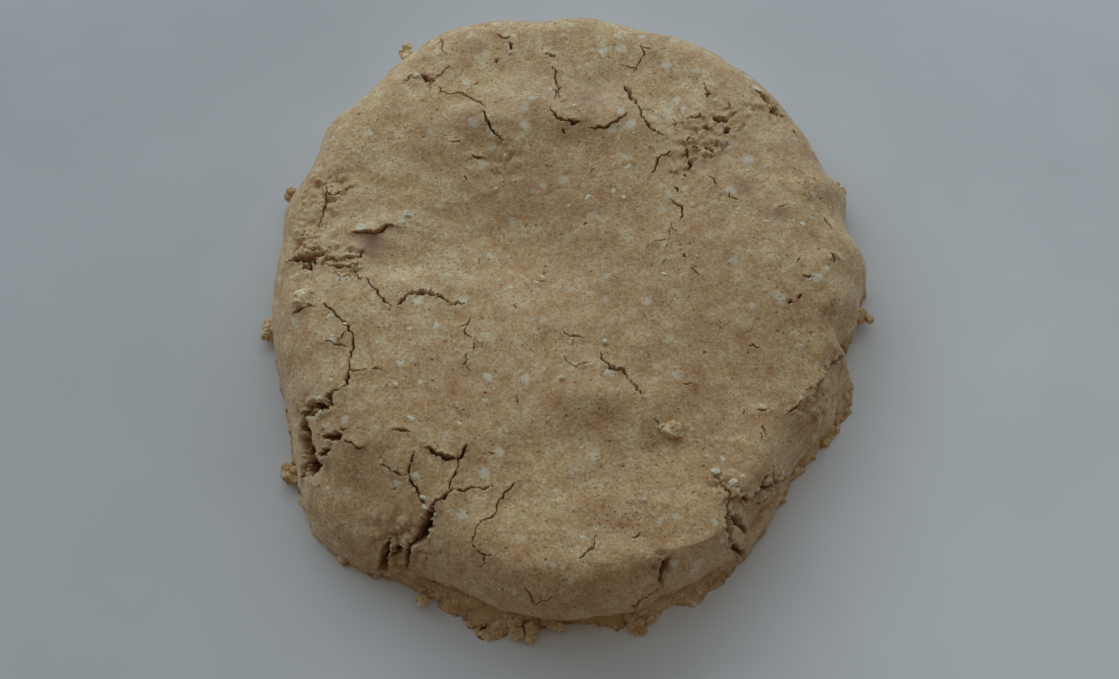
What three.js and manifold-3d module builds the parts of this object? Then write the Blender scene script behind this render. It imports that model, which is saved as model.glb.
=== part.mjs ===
// A round of polvoron dough: toasted flour, lard, sugar and ground almond, pressed by hand into a thick disc.
// Millimetres, +Z up. It rests on z = 0 with the origin under its middle. +Y is the far side and +X the right.
import * as THREE from "three";
import { mergeVertices } from "three/addons/utils/BufferGeometryUtils.js";
import Module from "manifold-3d";

const wasm = await Module();
wasm.setup();

// Driving dimensions
const WIDTH = 156; // across X at the foot, before its lobes
const LENGTH = 174; // across Y at the foot, before its lobes
const THICKNESS = 22; // of the slab before hands pressed the top
const OUTLINE_POWER = 2.2; // 2 is an ellipse, more is squarer
const SHOULDER_RUN = 17; // plan distance from the flat top's rim to the wall
const SHOULDER_POWER = 2.3; // roundness of the edge: 2 is a quarter ellipse
const FOOT_HEIGHT = 4; // of the crumbly foot that spreads on the surface below
const FOOT_RAGGED = 0.9; // how far its edge wanders in and out

// Sampling of the surface
const TOP_RINGS = 21;
const SHOULDER_RINGS = 10;
const SECTORS = 6 * TOP_RINGS;
const CRACK_STEP = 4.2; // spacing of points along a crack
const CRACK_WANDER = 0.45; // sideways wander of a crack's path
const CRACK_CLEAR = 1.5; // how far a cutting wedge stands out of the surface

// Lobes and nicks of the outline: at an angle, over a half width, in or out by a distance
const OUTLINE_LOBES = [
  { at: 7, over: 5.5, out: 3.5 },
  { at: 23, over: 3, out: 3 },
  { at: 56, over: 24, out: 4.5 },
  { at: 86, over: 6, out: 3 },
  { at: 111, over: 17, out: 6 },
  { at: 140, over: 5, out: 2.5 },
  { at: 160, over: 5, out: 1.2 },
  { at: 202, over: 12, out: -2.5 },
  { at: 226, over: 10, out: 4 },
  { at: 250, over: 10, out: -3.5 },
  { at: 300, over: 18, out: -4.5 },
  { at: 322, over: 12.5, out: -8.5 },
  { at: 339, over: 5, out: -2 },
  { at: 350, over: 4, out: -6 },
];

// Where the shoulder is broader or steeper than SHOULDER_RUN
const SHOULDER_LOBES = [
  { at: 45, over: 18, out: 8 },
  { at: 90, over: 35, out: -3 },
  { at: 130, over: 15, out: 3 },
  { at: 180, over: 30, out: -5 },
  { at: 230, over: 16, out: 13 },
  { at: 268, over: 17, out: -7 },
  { at: 296, over: 12, out: -12 },
  { at: 319, over: 13, out: -6 },
  { at: 338, over: 9, out: -7 },
  { at: 352, over: 8, out: -8 },
];

// Where the edge is crisper or more sloping than SHOULDER_POWER
const CRISP_LOBES = [
  { at: 268, over: 14, out: 0.4 },
  { at: 296, over: 9, out: -0.7 },
  { at: 325, over: 12, out: -0.3 },
  { at: 342, over: 6, out: -0.9 },
];

// How far the foot spreads beyond the wall
const FOOT_LOBES = [
  { at: 205, over: 12, out: 1 },
  { at: 256, over: 9, out: 4.5 },
  { at: 281.5, over: 4, out: 2 },
  { at: 292, over: 8, out: 2.5 },
  { at: 332, over: 14, out: 2 },
];

// Hollows (rise below 0) and humps left by hands: centre, half lengths along and across, turn and height
const PRESSES = [
  { name: "far ridge", x: -2, y: 50, along: 26, across: 9, turn: 0, rise: 3.2 },
  { name: "far left ridge", x: -30, y: 48, along: 14, across: 8, turn: 0, rise: 1.2 },
  { name: "far right ridge", x: 26, y: 42, along: 11, across: 8, turn: -55, rise: 1.5 },
  { name: "finger mark", x: 9, y: 58, along: 9, across: 8, turn: 0, rise: -1.6 },
  { name: "palm hollow", x: -14, y: 11, along: 22, across: 15, turn: -25, rise: -5.5 },
  { name: "right plateau", x: 45, y: 12, along: 22, across: 20, turn: 0, rise: 1.8 },
  { name: "right knuckle", x: 64, y: -1, along: 10, across: 8, turn: 0, rise: 1.5 },
  { name: "left knuckle", x: -61, y: -10, along: 14, across: 8, turn: 90, rise: 1.8 },
  { name: "left thumb mark", x: -45, y: 5, along: 8, across: 5, turn: -40, rise: -2 },
  { name: "near left swell", x: -46, y: -36, along: 22, across: 34, turn: 0, rise: 2.6 },
  { name: "near left ridge", x: -28, y: -46, along: 22, across: 7, turn: 5, rise: 1.4 },
  { name: "middle ridge", x: 8, y: -34, along: 15, across: 6, turn: -14, rise: 2.2 },
  { name: "near right hollow", x: 29, y: -49, along: 21, across: 11, turn: 12, rise: -2.2 },
  { name: "near hollow", x: -8, y: -48, along: 12, across: 7, turn: 0, rise: -1.4 },
  { name: "near hump", x: 2, y: -77, along: 28, across: 9, turn: 0, rise: 1.2 },
  { name: "right hollow", x: 52, y: -28, along: 20, across: 14, turn: 15, rise: -2.2 },
  { name: "near left press", x: -54, y: -58, along: 13, across: 11, turn: -45, rise: -4 },
  { name: "right fold", x: 62, y: -33, along: 12, across: 5, turn: 52, rise: 1 },
  { name: "right slope", x: 68, y: -38, along: 24, across: 12, turn: 58, rise: -5.5 },
  { name: "right recess", x: 46, y: -63, along: 8, across: 5, turn: 40, rise: -7 },
];

// Cracks in the top and over the edge, each along a path of plan points
const CRACKS = [
  {
    name: "far left, upper", width: 0.9, depth: 2.5,
    path: [[-34.5, 59], [-34, 57], [-28, 56.5], [-23, 53], [-21.5, 51]],
  },
  { name: "far left, lower", width: 1.1, depth: 3, path: [[-22.5, 50], [-20.5, 45.5], [-16.5, 41]] },
  { name: "far left pits", width: 2, depth: 2.6, path: [[-39.5, 63], [-36, 61]] },
  {
    name: "beside the finger mark", width: 1.2, depth: 2.4,
    path: [[-3.5, 66], [-2.5, 60.5], [-1.5, 58.5], [-3, 53.5]],
  },
  {
    name: "round the finger mark, left", width: 1, depth: 2.2,
    path: [[-4, 50.5], [-3, 48], [0, 46], [4, 46]],
  },
  {
    name: "round the finger mark, right", width: 0.9, depth: 2,
    path: [[6.5, 44.5], [10, 44.5], [14, 46.5], [16.5, 49]],
  },
  { name: "far middle, open", width: 1.6, depth: 4, path: [[16, 60], [18.5, 54.5], [19.5, 52]] },
  { name: "far middle, lower", width: 1, depth: 2.6, path: [[19.5, 52], [20.5, 48], [23, 44], [26, 42]] },
  { name: "below the crags", width: 1, depth: 2.5, path: [[23, 31], [24.5, 35], [28, 37.5]] },
  { name: "crags, upper", width: 2.4, depth: 3.5, path: [[40.5, 49], [43.5, 48]] },
  { name: "crags, right", width: 1.8, depth: 2.6, path: [[42.5, 44], [44.5, 45.5]] },
  { name: "crags, lower", width: 2.4, depth: 3.2, path: [[37.5, 39], [40, 38.5]] },
  { name: "crags, middle", width: 1.6, depth: 2.4, path: [[37, 46], [39, 45.5]] },
  { name: "crags, left", width: 1.3, depth: 2.4, path: [[32.5, 38], [32.5, 35.5], [33, 32]] },
  { name: "beside the crags", width: 1, depth: 2.4, path: [[40.5, 26.5], [38, 29.5]] },
  { name: "far right short", width: 0.9, depth: 2, path: [[38, 60.5], [39, 57.5], [38.5, 55]] },
  {
    name: "far right sliver", width: 1.4, depth: 3.5,
    path: [[52.5, 60], [56, 56.5], [57, 54], [60, 52.5]],
  },
  { name: "right of middle", width: 0.9, depth: 2, path: [[28, 22.5], [30.5, 19.5], [30, 16.5]] },
  { name: "flake, upper", width: 0.9, depth: 2, path: [[-63.5, 27.5], [-61, 24.5], [-56.5, 27]] },
  { name: "flake, side", width: 0.9, depth: 2, path: [[-63, 25], [-63.5, 19], [-65, 13.5]] },
  { name: "flake lip", width: 1.3, depth: 3, path: [[-55, 13], [-50, 12.5], [-46.5, 15], [-45, 15]] },
  { name: "left fissure, outer", width: 3, depth: 5, path: [[-71, 5], [-67, 4.5], [-62, 6]] },
  {
    name: "left fissure, upper", width: 1.2, depth: 3,
    path: [[-62, 4.5], [-58.5, 3.5], [-53, 5.5], [-52.5, 7.5]],
  },
  { name: "left fissure, lower", width: 1, depth: 2.6, path: [[-62.5, 3], [-59.5, 2], [-53.5, 2.5]] },
  { name: "left stair", width: 1, depth: 2.4, path: [[-51, -1], [-48, -5], [-46, -8.5], [-44, -10]] },
  {
    name: "middle left, open", width: 1.2, depth: 3.5,
    path: [[-42.5, -9], [-39, -5.5], [-36, -5], [-29.5, -8], [-25.5, -8]],
  },
  { name: "left arc", width: 1, depth: 2.8, path: [[-61, -9.5], [-56, -14.5], [-53, -19.5], [-53.5, -26]] },
  {
    name: "left arc, lower", width: 1.2, depth: 3.2,
    path: [[-53.5, -26], [-53.5, -30], [-56, -33.5], [-59.5, -37.5]],
  },
  {
    name: "left break", width: 3.6, depth: 7,
    path: [[-59, -37.5], [-64.5, -37], [-66, -41.5], [-64, -49], [-63.5, -51.5]],
  },
  { name: "beside the left crumb", width: 1.2, depth: 2.6, path: [[-69, -11], [-64, -10]] },
  { name: "near left cavity", width: 2.4, depth: 4, path: [[-59.5, -44], [-57, -45], [-54.5, -44.5]] },
  {
    name: "near left fork, outer", width: 0.9, depth: 2.4,
    path: [[-44.5, -52.5], [-39.5, -55], [-37.5, -56]],
  },
  {
    name: "near left fork, inner", width: 1.1, depth: 3,
    path: [[-36.5, -50], [-37.5, -56.5], [-34.5, -61.5], [-33.5, -63]],
  },
  {
    name: "near left overhang", width: 1.4, depth: 2.6,
    path: [[-33.5, -49], [-30, -50.5], [-26.5, -51.5]],
  },
  {
    name: "near left rise", width: 1, depth: 2.4,
    path: [[-28, -59.5], [-26.5, -55.5], [-26, -52.5], [-24, -48]],
  },
  {
    name: "near break, upper", width: 1.2, depth: 3.5,
    path: [[-21.5, -58.5], [-26.5, -59.5], [-30, -61.5], [-32.5, -63.5]],
  },
  { name: "near break, open", width: 3.2, depth: 8, path: [[-32, -63.5], [-34.5, -68.5], [-37, -70.5]] },
  { name: "near break, hole", width: 3.2, depth: 6, path: [[-39.5, -71], [-43, -72]] },
  { name: "near break, nick", width: 2.6, depth: 7, path: [[-42.5, -69], [-44, -72], [-46, -76]] },
  {
    name: "near hairline, upper", width: 0.8, depth: 2,
    path: [[-11, -56.5], [-16, -61], [-16.5, -64], [-20, -67]],
  },
  {
    name: "near hairline, lower", width: 0.8, depth: 2,
    path: [[-20, -67], [-22, -71], [-19, -75], [-22, -77.5]],
  },
  { name: "middle, left", width: 0.8, depth: 1.8, path: [[-0.5, -23], [2.5, -26.5], [6.5, -25]] },
  {
    name: "middle, open", width: 1.2, depth: 3.2,
    path: [[8.5, -22], [11, -27], [14.5, -27.5], [17, -31.5], [19, -34.5]],
  },
  {
    name: "near right, top", width: 1.2, depth: 3.6,
    path: [[35.5, -54], [38, -57.5], [39.5, -60], [39, -63]],
  },
  {
    name: "near right break", width: 2.6, depth: 7,
    path: [[39, -63], [39, -66], [39.5, -69.5], [42, -70]],
  },
  { name: "near right ledge", width: 2.6, depth: 5, path: [[39.5, -64.5], [44, -65.5]] },
  { name: "right wall", width: 1.8, depth: 4, path: [[42, -60.5], [45.5, -58], [49, -55.5], [54, -50.5]] },
  { name: "right flap", width: 2.4, depth: 4.5, path: [[66.5, -23.5], [68, -21.5], [70.5, -19.5]] },
  { name: "right pits", width: 1.6, depth: 2, path: [[57, -8], [60, -6]] },
  { name: "right nick", width: 2, depth: 3, path: [[69, 6], [69, 4]] },
  { name: "near face cavity", width: 2.6, depth: 4.5, path: [[22.5, -80], [23.5, -78], [24.5, -76]] },
  { name: "near face crack", width: 1.2, depth: 3, path: [[14.5, -84], [20.5, -81.5], [22.5, -80]] },
];

// Grooves along the wall, under the lip of the slab: angles, height above the surface below, width and depth
const WALL_GROOVES = [
  { name: "below the left break", from: 208, to: 223, height: 15.5, width: 2.2, depth: 3.5 },
  { name: "under the near lip, left", from: 244, to: 267, height: 5, width: 2.4, depth: 4.2 },
  { name: "under the near lip, middle", from: 265, to: 281, height: 3, width: 3.6, depth: 4.6 },
  { name: "under the near lip, right", from: 281, to: 299, height: 5, width: 1.8, depth: 2 },
  { name: "right recess", from: 303, to: 317, height: 8.5, width: 1.8, depth: 3 },
  { name: "above the right flap", from: 319, to: 345, height: 3, width: 2, depth: 1.5 },
];

// Lumps that cling to the edge: plan angle, how far they stand out, height and radius
const EDGE_LUMPS = [
  { at: 184, out: 1.4, height: 3, radius: 2.8 },
  { at: 155, out: 1.2, height: 4, radius: 2.6 },
  { at: 359, out: 1.4, height: 3, radius: 2.8 },
  { at: 26, out: 1, height: 5, radius: 2.4 },
  { at: 119.5, out: 1, height: 12, radius: 2.6 },
  { at: 214, out: 1, height: 2, radius: 2.6 },
  { at: 263, out: 0.5, height: 2, radius: 3.4 },
  { at: 268, out: 0.5, height: 1.6, radius: 2.6 },
  { at: 282, out: 0.5, height: 1.8, radius: 3.2 },
  { at: 247, out: 0.5, height: 2.4, radius: 3.2 },
];
const FOOT_CRUMBS = 30; // small crumbs along the foot, where it spreads
const FOOT_CRUMB_RADIUS = [0.9, 2];
const NUB = { x: 26, y: -42.5, radius: 3, flatten: 0.5 }; // a loose pinch of dough pressed onto the top
const FLAKE_LUMP = { x: -67, y: -7.5, radius: 2.8, flatten: 0.5 }; // a crumb lodged beside the left fissure
const SEED = 20;

const radians = THREE.MathUtils.degToRad;
const clamp = THREE.MathUtils.clamp;

// A repeatable stream of numbers from 0 to 1
function randomStream(seed) {
  let state = seed;
  return () => {
    state = (state * 16807) % 2147483647;
    return state / 2147483647;
  };
}

// Sum of smooth bumps at the plan angle, in degrees
function lobeSum(lobes, degrees) {
  return lobes.reduce((sum, lobe) => {
    const apart = THREE.MathUtils.euclideanModulo(degrees - lobe.at + 180, 360) - 180;
    return sum + lobe.out * Math.exp(-((apart / lobe.over) ** 2));
  }, 0);
}

// Fine wander of the foot's edge round the disc
function raggedness(degrees) {
  const turn = radians(degrees);
  return (
    0.5 * Math.sin(17 * turn + 1.3) +
    0.35 * Math.sin(31 * turn + 0.4) +
    0.3 * Math.sin(53 * turn + 2.1)
  );
}

function wallRadius(degrees) {
  const c = Math.abs(Math.cos(radians(degrees))) / (WIDTH / 2);
  const s = Math.abs(Math.sin(radians(degrees))) / (LENGTH / 2);
  const plain = (c ** OUTLINE_POWER + s ** OUTLINE_POWER) ** (-1 / OUTLINE_POWER);
  return plain + lobeSum(OUTLINE_LOBES, degrees);
}

const shoulderRun = (degrees) => SHOULDER_RUN + lobeSum(SHOULDER_LOBES, degrees);
const shoulderPower = (degrees) => SHOULDER_POWER + lobeSum(CRISP_LOBES, degrees);

// Height that hands left above or below the plain slab
function reliefAt(x, y) {
  return PRESSES.reduce((sum, press) => {
    const turn = radians(press.turn);
    const dx = x - press.x;
    const dy = y - press.y;
    const u = (dx * Math.cos(turn) + dy * Math.sin(turn)) / press.along;
    const v = (dy * Math.cos(turn) - dx * Math.sin(turn)) / press.across;
    return sum + press.rise * Math.exp(-(u * u + v * v));
  }, 0);
}

// A point of the surface. reach runs from 0 at the middle to 1 at the flat top's rim and 2 at the wall's foot.
function surfacePoint(degrees, reach) {
  const wall = wallRadius(degrees);
  const run = shoulderRun(degrees);
  const fall = (clamp(reach - 1, 0, 1) * Math.PI) / 2;
  const bend = 2 / shoulderPower(degrees);
  const radius = Math.min(reach, 1) * (wall - run) + run * Math.sin(fall) ** bend;
  const profile = Math.cos(fall) ** bend;
  const x = radius * Math.cos(radians(degrees));
  const y = radius * Math.sin(radians(degrees));
  const z = profile * (THICKNESS + reliefAt(x, y));
  const spread = clamp(1 - z / FOOT_HEIGHT, 0, 1) ** 2;
  const flare = spread * (lobeSum(FOOT_LOBES, degrees) + FOOT_RAGGED * raggedness(degrees));
  const stretch = (radius + flare) / Math.max(radius, 1e-6);
  return new THREE.Vector3(x * stretch, y * stretch, z);
}

// The reach of the surface point that stands at a plan point
function reachAt(x, y) {
  const degrees = THREE.MathUtils.radToDeg(Math.atan2(y, x));
  const wall = wallRadius(degrees);
  const run = shoulderRun(degrees);
  const beyond = clamp((Math.hypot(x, y) - (wall - run)) / run, 0, 1);
  const onTop = Math.hypot(x, y) / (wall - run);
  return beyond > 0 ? 1 + Math.asin(beyond ** (shoulderPower(degrees) / 2)) / (Math.PI / 2) : onTop;
}

// The surface's outward direction
function surfaceNormal(degrees, reach) {
  const step = 0.02;
  const inner = Math.max(reach - step, 0.01);
  const outward = surfacePoint(degrees, Math.min(inner + 2 * step, 2)).sub(surfacePoint(degrees, inner));
  const around = surfacePoint(degrees + 1, reach).sub(surfacePoint(degrees - 1, reach));
  return outward.cross(around).normalize();
}

function solidFrom(geometry) {
  const plain = geometry.clone();
  plain.deleteAttribute("normal");
  plain.deleteAttribute("uv");
  const merged = mergeVertices(plain);
  const vertProperties = new Float32Array(merged.attributes.position.array);
  const triVerts = new Uint32Array(merged.index.array);
  return new wasm.Manifold(new wasm.Mesh({ numProp: 3, vertProperties, triVerts }));
}

function geometryFrom(solid) {
  const mesh = solid.getMesh();
  const geometry = new THREE.BufferGeometry();
  geometry.setAttribute("position", new THREE.BufferAttribute(new Float32Array(mesh.vertProperties), 3));
  geometry.setIndex(new THREE.BufferAttribute(new Uint32Array(mesh.triVerts), 1));
  geometry.computeVertexNormals();
  return geometry;
}

function indexedGeometry(points, triangles) {
  const geometry = new THREE.BufferGeometry().setFromPoints(points);
  geometry.setIndex(triangles.flat());
  return geometry;
}

// Triangles between two closed rings of points, the inner one given first, seen from outside
function stitchRings(inner, outer) {
  const triangles = [];
  let i = 0;
  let o = 0;
  while (i < inner.length || o < outer.length) {
    const innerNow = inner[i % inner.length];
    const outerNow = outer[o % outer.length];
    if (o >= outer.length || (i < inner.length && (i + 1) / inner.length <= (o + 1) / outer.length)) {
      triangles.push([innerNow, outerNow, inner[(i + 1) % inner.length]]);
      i += 1;
    } else {
      triangles.push([innerNow, outerNow, outer[(o + 1) % outer.length]]);
      o += 1;
    }
  }
  return triangles;
}

// The pressed slab without its cracks: rings of points from the middle of the top to the foot, and a flat underside
function slabGeometry() {
  const points = [surfacePoint(0, 0)];
  const rings = [];
  const addRing = (count, reach) => {
    const start = points.length;
    for (let k = 0; k < count; k += 1) points.push(surfacePoint((360 * k) / count, reach));
    rings.push(Array.from({ length: count }, (_, k) => start + k));
  };
  for (let ring = 1; ring <= TOP_RINGS; ring += 1) addRing(6 * ring, ring / TOP_RINGS);
  for (let ring = 1; ring <= SHOULDER_RINGS; ring += 1) addRing(SECTORS, 1 + ring / SHOULDER_RINGS);

  const triangles = rings[0].map((p, k) => [0, p, rings[0][(k + 1) % rings[0].length]]);
  for (let ring = 1; ring < rings.length; ring += 1) triangles.push(...stitchRings(rings[ring - 1], rings[ring]));

  const foot = rings[rings.length - 1];
  const under = points.length;
  points.push(new THREE.Vector3(0, 0, 0));
  foot.forEach((p, k) => triangles.push([under, foot[(k + 1) % foot.length], p]));
  return indexedGeometry(points, triangles);
}

// A three-sided wedge along a path on the surface, whose point goes in by depth; both ends close to a sliver
function wedgeGeometry(path, width, depth) {
  const points = [];
  const triangles = [];
  path.forEach(({ place, normal }, k) => {
    const ahead = path[Math.min(k + 1, path.length - 1)].place;
    const behind = path[Math.max(k - 1, 0)].place;
    const side = ahead.clone().sub(behind).cross(normal).normalize();
    const share = 0.15 + 0.85 * Math.sin((Math.PI * (k + 0.3)) / (path.length - 0.4)) ** 0.6;
    const half = ((width * share) / 2) * (1 + CRACK_CLEAR / depth);
    const rim = place.clone().addScaledVector(normal, CRACK_CLEAR);
    points.push(
      rim.clone().addScaledVector(side, half),
      rim.clone().addScaledVector(side, -half),
      place.clone().addScaledVector(normal, -depth * share),
    );
  });
  for (let k = 0; k + 1 < path.length; k += 1) {
    for (let edge = 0; edge < 3; edge += 1) {
      const a = 3 * k + edge;
      const b = 3 * k + ((edge + 1) % 3);
      triangles.push([a, b + 3, b], [a, a + 3, b + 3]);
    }
  }
  const last = 3 * (path.length - 1);
  triangles.push([0, 1, 2], [last, last + 2, last + 1]);
  return indexedGeometry(points, triangles);
}

// The points of a crack: evenly spaced along its path, wandering to either side, laid on the surface
function crackPath(crack, random) {
  const line = new THREE.CurvePath();
  const bends = crack.path.map(([x, y]) => new THREE.Vector2(x, y));
  for (let k = 1; k < bends.length; k += 1) line.add(new THREE.LineCurve(bends[k - 1], bends[k]));
  const steps = Math.max(crack.path.length, Math.round(line.getLength() / CRACK_STEP));
  return Array.from({ length: steps + 1 }, (_, k) => {
    const wander = k % steps === 0 ? 0 : CRACK_WANDER * (2 * random() - 1);
    const ahead = line.getTangent(k / steps);
    const plan = line.getPoint(k / steps).add(new THREE.Vector2(-ahead.y, ahead.x).multiplyScalar(wander));
    const degrees = THREE.MathUtils.radToDeg(Math.atan2(plan.y, plan.x));
    const reach = reachAt(plan.x, plan.y);
    return { place: surfacePoint(degrees, reach), normal: surfaceNormal(degrees, reach) };
  });
}

// The reach at which the wall stands at a height
function reachAtHeight(degrees, height) {
  return 1 + Math.acos((height / THICKNESS) ** (shoulderPower(degrees) / 2)) / (Math.PI / 2);
}

// The points of a groove that follows the wall at one height
function groovePath(groove, random) {
  const steps = Math.round(((groove.to - groove.from) * radians(1) * WIDTH) / 2 / CRACK_STEP);
  return Array.from({ length: steps + 1 }, (_, k) => {
    const degrees = groove.from + ((groove.to - groove.from) * k) / steps;
    const reach = reachAtHeight(degrees, groove.height);
    const place = surfacePoint(degrees, reach);
    place.z += CRACK_WANDER * (2 * random() - 1);
    return { place, normal: surfaceNormal(degrees, reach).setZ(0).normalize() };
  });
}

// A crumb: a faceted ball with its corners moved in and out
function crumbGeometry(radius, detail, random) {
  const ball = new THREE.IcosahedronGeometry(radius, detail);
  ball.deleteAttribute("normal");
  ball.deleteAttribute("uv");
  const crumb = mergeVertices(ball);
  const corner = new THREE.Vector3();
  for (let k = 0; k < crumb.attributes.position.count; k += 1) {
    corner.fromBufferAttribute(crumb.attributes.position, k).multiplyScalar(0.85 + 0.3 * random());
    crumb.attributes.position.setXYZ(k, corner.x, corner.y, corner.z);
  }
  return crumb;
}

function crumbAtEdge(lump, random) {
  const outward = new THREE.Vector3(Math.cos(radians(lump.at)), Math.sin(radians(lump.at)), 0);
  const place = surfacePoint(lump.at, reachAtHeight(lump.at, lump.height)).addScaledVector(outward, lump.out);
  return crumbGeometry(lump.radius, 0, random).translate(place.x, place.y, lump.height);
}

// Small crumbs along the foot, where it spreads
function footCrumbs(random) {
  const [least, most] = FOOT_CRUMB_RADIUS;
  return Array.from({ length: FOOT_CRUMBS }, (_, k) => {
    const at = 195 + (160 * (k + 0.8 * random())) / FOOT_CRUMBS;
    const radius = least + (most - least) * random() ** 2;
    return crumbAtEdge({ at, out: 0.3 * radius, height: 0.5 * radius, radius }, random);
  });
}

function lumpOnTop({ x, y, radius, flatten }, random) {
  const degrees = THREE.MathUtils.radToDeg(Math.atan2(y, x));
  const place = surfacePoint(degrees, reachAt(x, y));
  return crumbGeometry(radius, 1, random)
    .scale(1, 1, flatten)
    .translate(place.x, place.y, place.z + 0.3 * radius * flatten);
}

// Everything below the resting plane
function floorBlock() {
  const depth = 10;
  return new THREE.BoxGeometry(2 * WIDTH, 2 * LENGTH, depth).translate(0, 0, -depth / 2);
}

// A scrap that a crack cuts loose falls away
function largestPiece(solid) {
  return solid.decompose().reduce((best, piece) => (piece.volume() > best.volume() ? piece : best));
}

function doughGeometry() {
  const random = randomStream(SEED);
  let dough = solidFrom(slabGeometry());
  for (const crack of CRACKS) {
    dough = dough.subtract(solidFrom(wedgeGeometry(crackPath(crack, random), crack.width, crack.depth)));
  }
  for (const groove of WALL_GROOVES) {
    dough = dough.subtract(solidFrom(wedgeGeometry(groovePath(groove, random), groove.width, groove.depth)));
  }
  const lumps = [
    lumpOnTop(NUB, random),
    lumpOnTop(FLAKE_LUMP, random),
    ...EDGE_LUMPS.map((lump) => crumbAtEdge(lump, random)),
    ...footCrumbs(random),
  ];
  for (const lump of lumps) dough = dough.add(solidFrom(lump));
  dough = dough.subtract(solidFrom(floorBlock()));
  return geometryFrom(largestPiece(dough));
}

const doughMaterial = new THREE.MeshStandardMaterial({ color: 0xcda878, roughness: 0.85, metalness: 0 });
const dough = new THREE.Mesh(doughGeometry(), doughMaterial);
dough.name = "dough";

const polvoron = new THREE.Group();
polvoron.add(dough);

export default polvoron;
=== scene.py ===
"""Looks of a hand-pressed round of polvoron dough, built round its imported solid."""

import math
import random
from collections import namedtuple

import bmesh
import bpy
import numpy as np
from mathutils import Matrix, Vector
from mathutils.kdtree import KDTree


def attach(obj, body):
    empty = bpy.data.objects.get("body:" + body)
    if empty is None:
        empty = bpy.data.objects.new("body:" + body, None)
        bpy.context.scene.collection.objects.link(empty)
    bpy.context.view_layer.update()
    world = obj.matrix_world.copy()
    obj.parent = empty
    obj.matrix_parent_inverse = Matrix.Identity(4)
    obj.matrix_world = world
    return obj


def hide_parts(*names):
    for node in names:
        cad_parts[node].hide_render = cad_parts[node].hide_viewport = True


bl_info = {
    "name": "Polvoron Dough Round",
    "version": (1, 0, 0),
    "blender": (4, 5, 0),
    "location": "View3D > Sidebar > Polvoron",
    "description": "Builds a cracked, hand-pressed round of polvoron dough with its crumbs and almond flecks",
    "category": "Add Mesh",
}

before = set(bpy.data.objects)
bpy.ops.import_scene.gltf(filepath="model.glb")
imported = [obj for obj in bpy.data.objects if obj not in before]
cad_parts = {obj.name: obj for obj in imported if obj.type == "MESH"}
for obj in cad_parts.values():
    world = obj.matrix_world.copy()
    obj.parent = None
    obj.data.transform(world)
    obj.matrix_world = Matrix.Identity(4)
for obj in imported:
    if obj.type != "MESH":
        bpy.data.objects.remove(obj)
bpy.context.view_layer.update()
BODY = "root"
NODE = "dough"

# Rows of the tables below: lengths in millimetres, +X to the right, +Y to the far side, angles in degrees
# anticlockwise from +X
MM = 0.001
Lobe = namedtuple("Lobe", "at over out")
Press = namedtuple("Press", "x y along across turn rise")
Undercut = namedtuple("Undercut", "first last height half depth")
Crack = namedtuple("Crack", "width depth lift path")
Zone = namedtuple("Zone", "x y reach strength")
Lump = namedtuple("Lump", "x y radius flatten")
EdgeLump = namedtuple("EdgeLump", "at out height radius")
Grain = namedtuple("Grain", "x y radius")

# Lobes and nicks of the outline: angle, half width in degrees, distance out
OUTLINE_LOBES = (
    Lobe(7, 5.5, 3.5),
    Lobe(23, 3, 3),
    Lobe(56, 24, 4.5),
    Lobe(86, 6, 3),
    Lobe(111, 17, 6),
    Lobe(140, 5, 2.5),
    Lobe(160, 5, 1.2),
    Lobe(202, 12, -2.5),
    Lobe(226, 10, 4),
    Lobe(250, 10, -3.5),
    Lobe(300, 18, -4.5),
    Lobe(322, 12.5, -8.5),
    Lobe(339, 5, -2),
    Lobe(350, 4, -6),
)
# Where the shoulder is broader or steeper
SHOULDER_LOBES = (
    Lobe(45, 18, 8),
    Lobe(90, 35, -3),
    Lobe(130, 15, 3),
    Lobe(180, 30, -5),
    Lobe(230, 16, 13),
    Lobe(268, 17, -7),
    Lobe(296, 12, -12),
    Lobe(319, 13, -6),
    Lobe(338, 9, -7),
    Lobe(352, 8, -8),
)
# Where the edge is crisp instead of round, as a change of the shoulder's power
CRISP_LOBES = (
    Lobe(268, 14, 0.4),
    Lobe(296, 9, -0.7),
    Lobe(325, 12, -0.3),
    Lobe(342, 6, -0.9),
)
# How far the foot spreads beyond the wall
FOOT_LOBES = (
    Lobe(205, 12, 1),
    Lobe(256, 9, 4.5),
    Lobe(281.5, 4, 2),
    Lobe(292, 8, 2.5),
    Lobe(332, 14, 2),
)
# Where the foot's edge is more ragged
RAGGED_LOBES = (
    Lobe(254, 11, 1.3),
    Lobe(284, 12, 1),
    Lobe(333, 12, 0.9),
)
# Grooves under the lip of the slab: first and last angle, height, half height, depth
UNDERCUTS = (
    Undercut(207, 224, 15.5, 1.3, 3.5),
    Undercut(243, 268, 5, 1.3, 4.5),
    Undercut(264, 282, 3, 2.4, 5),
    Undercut(280, 300, 5, 1, 2),
    Undercut(302, 318, 8.5, 1, 3),
    Undercut(318, 346, 3, 1.2, 1.5),
)
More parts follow.
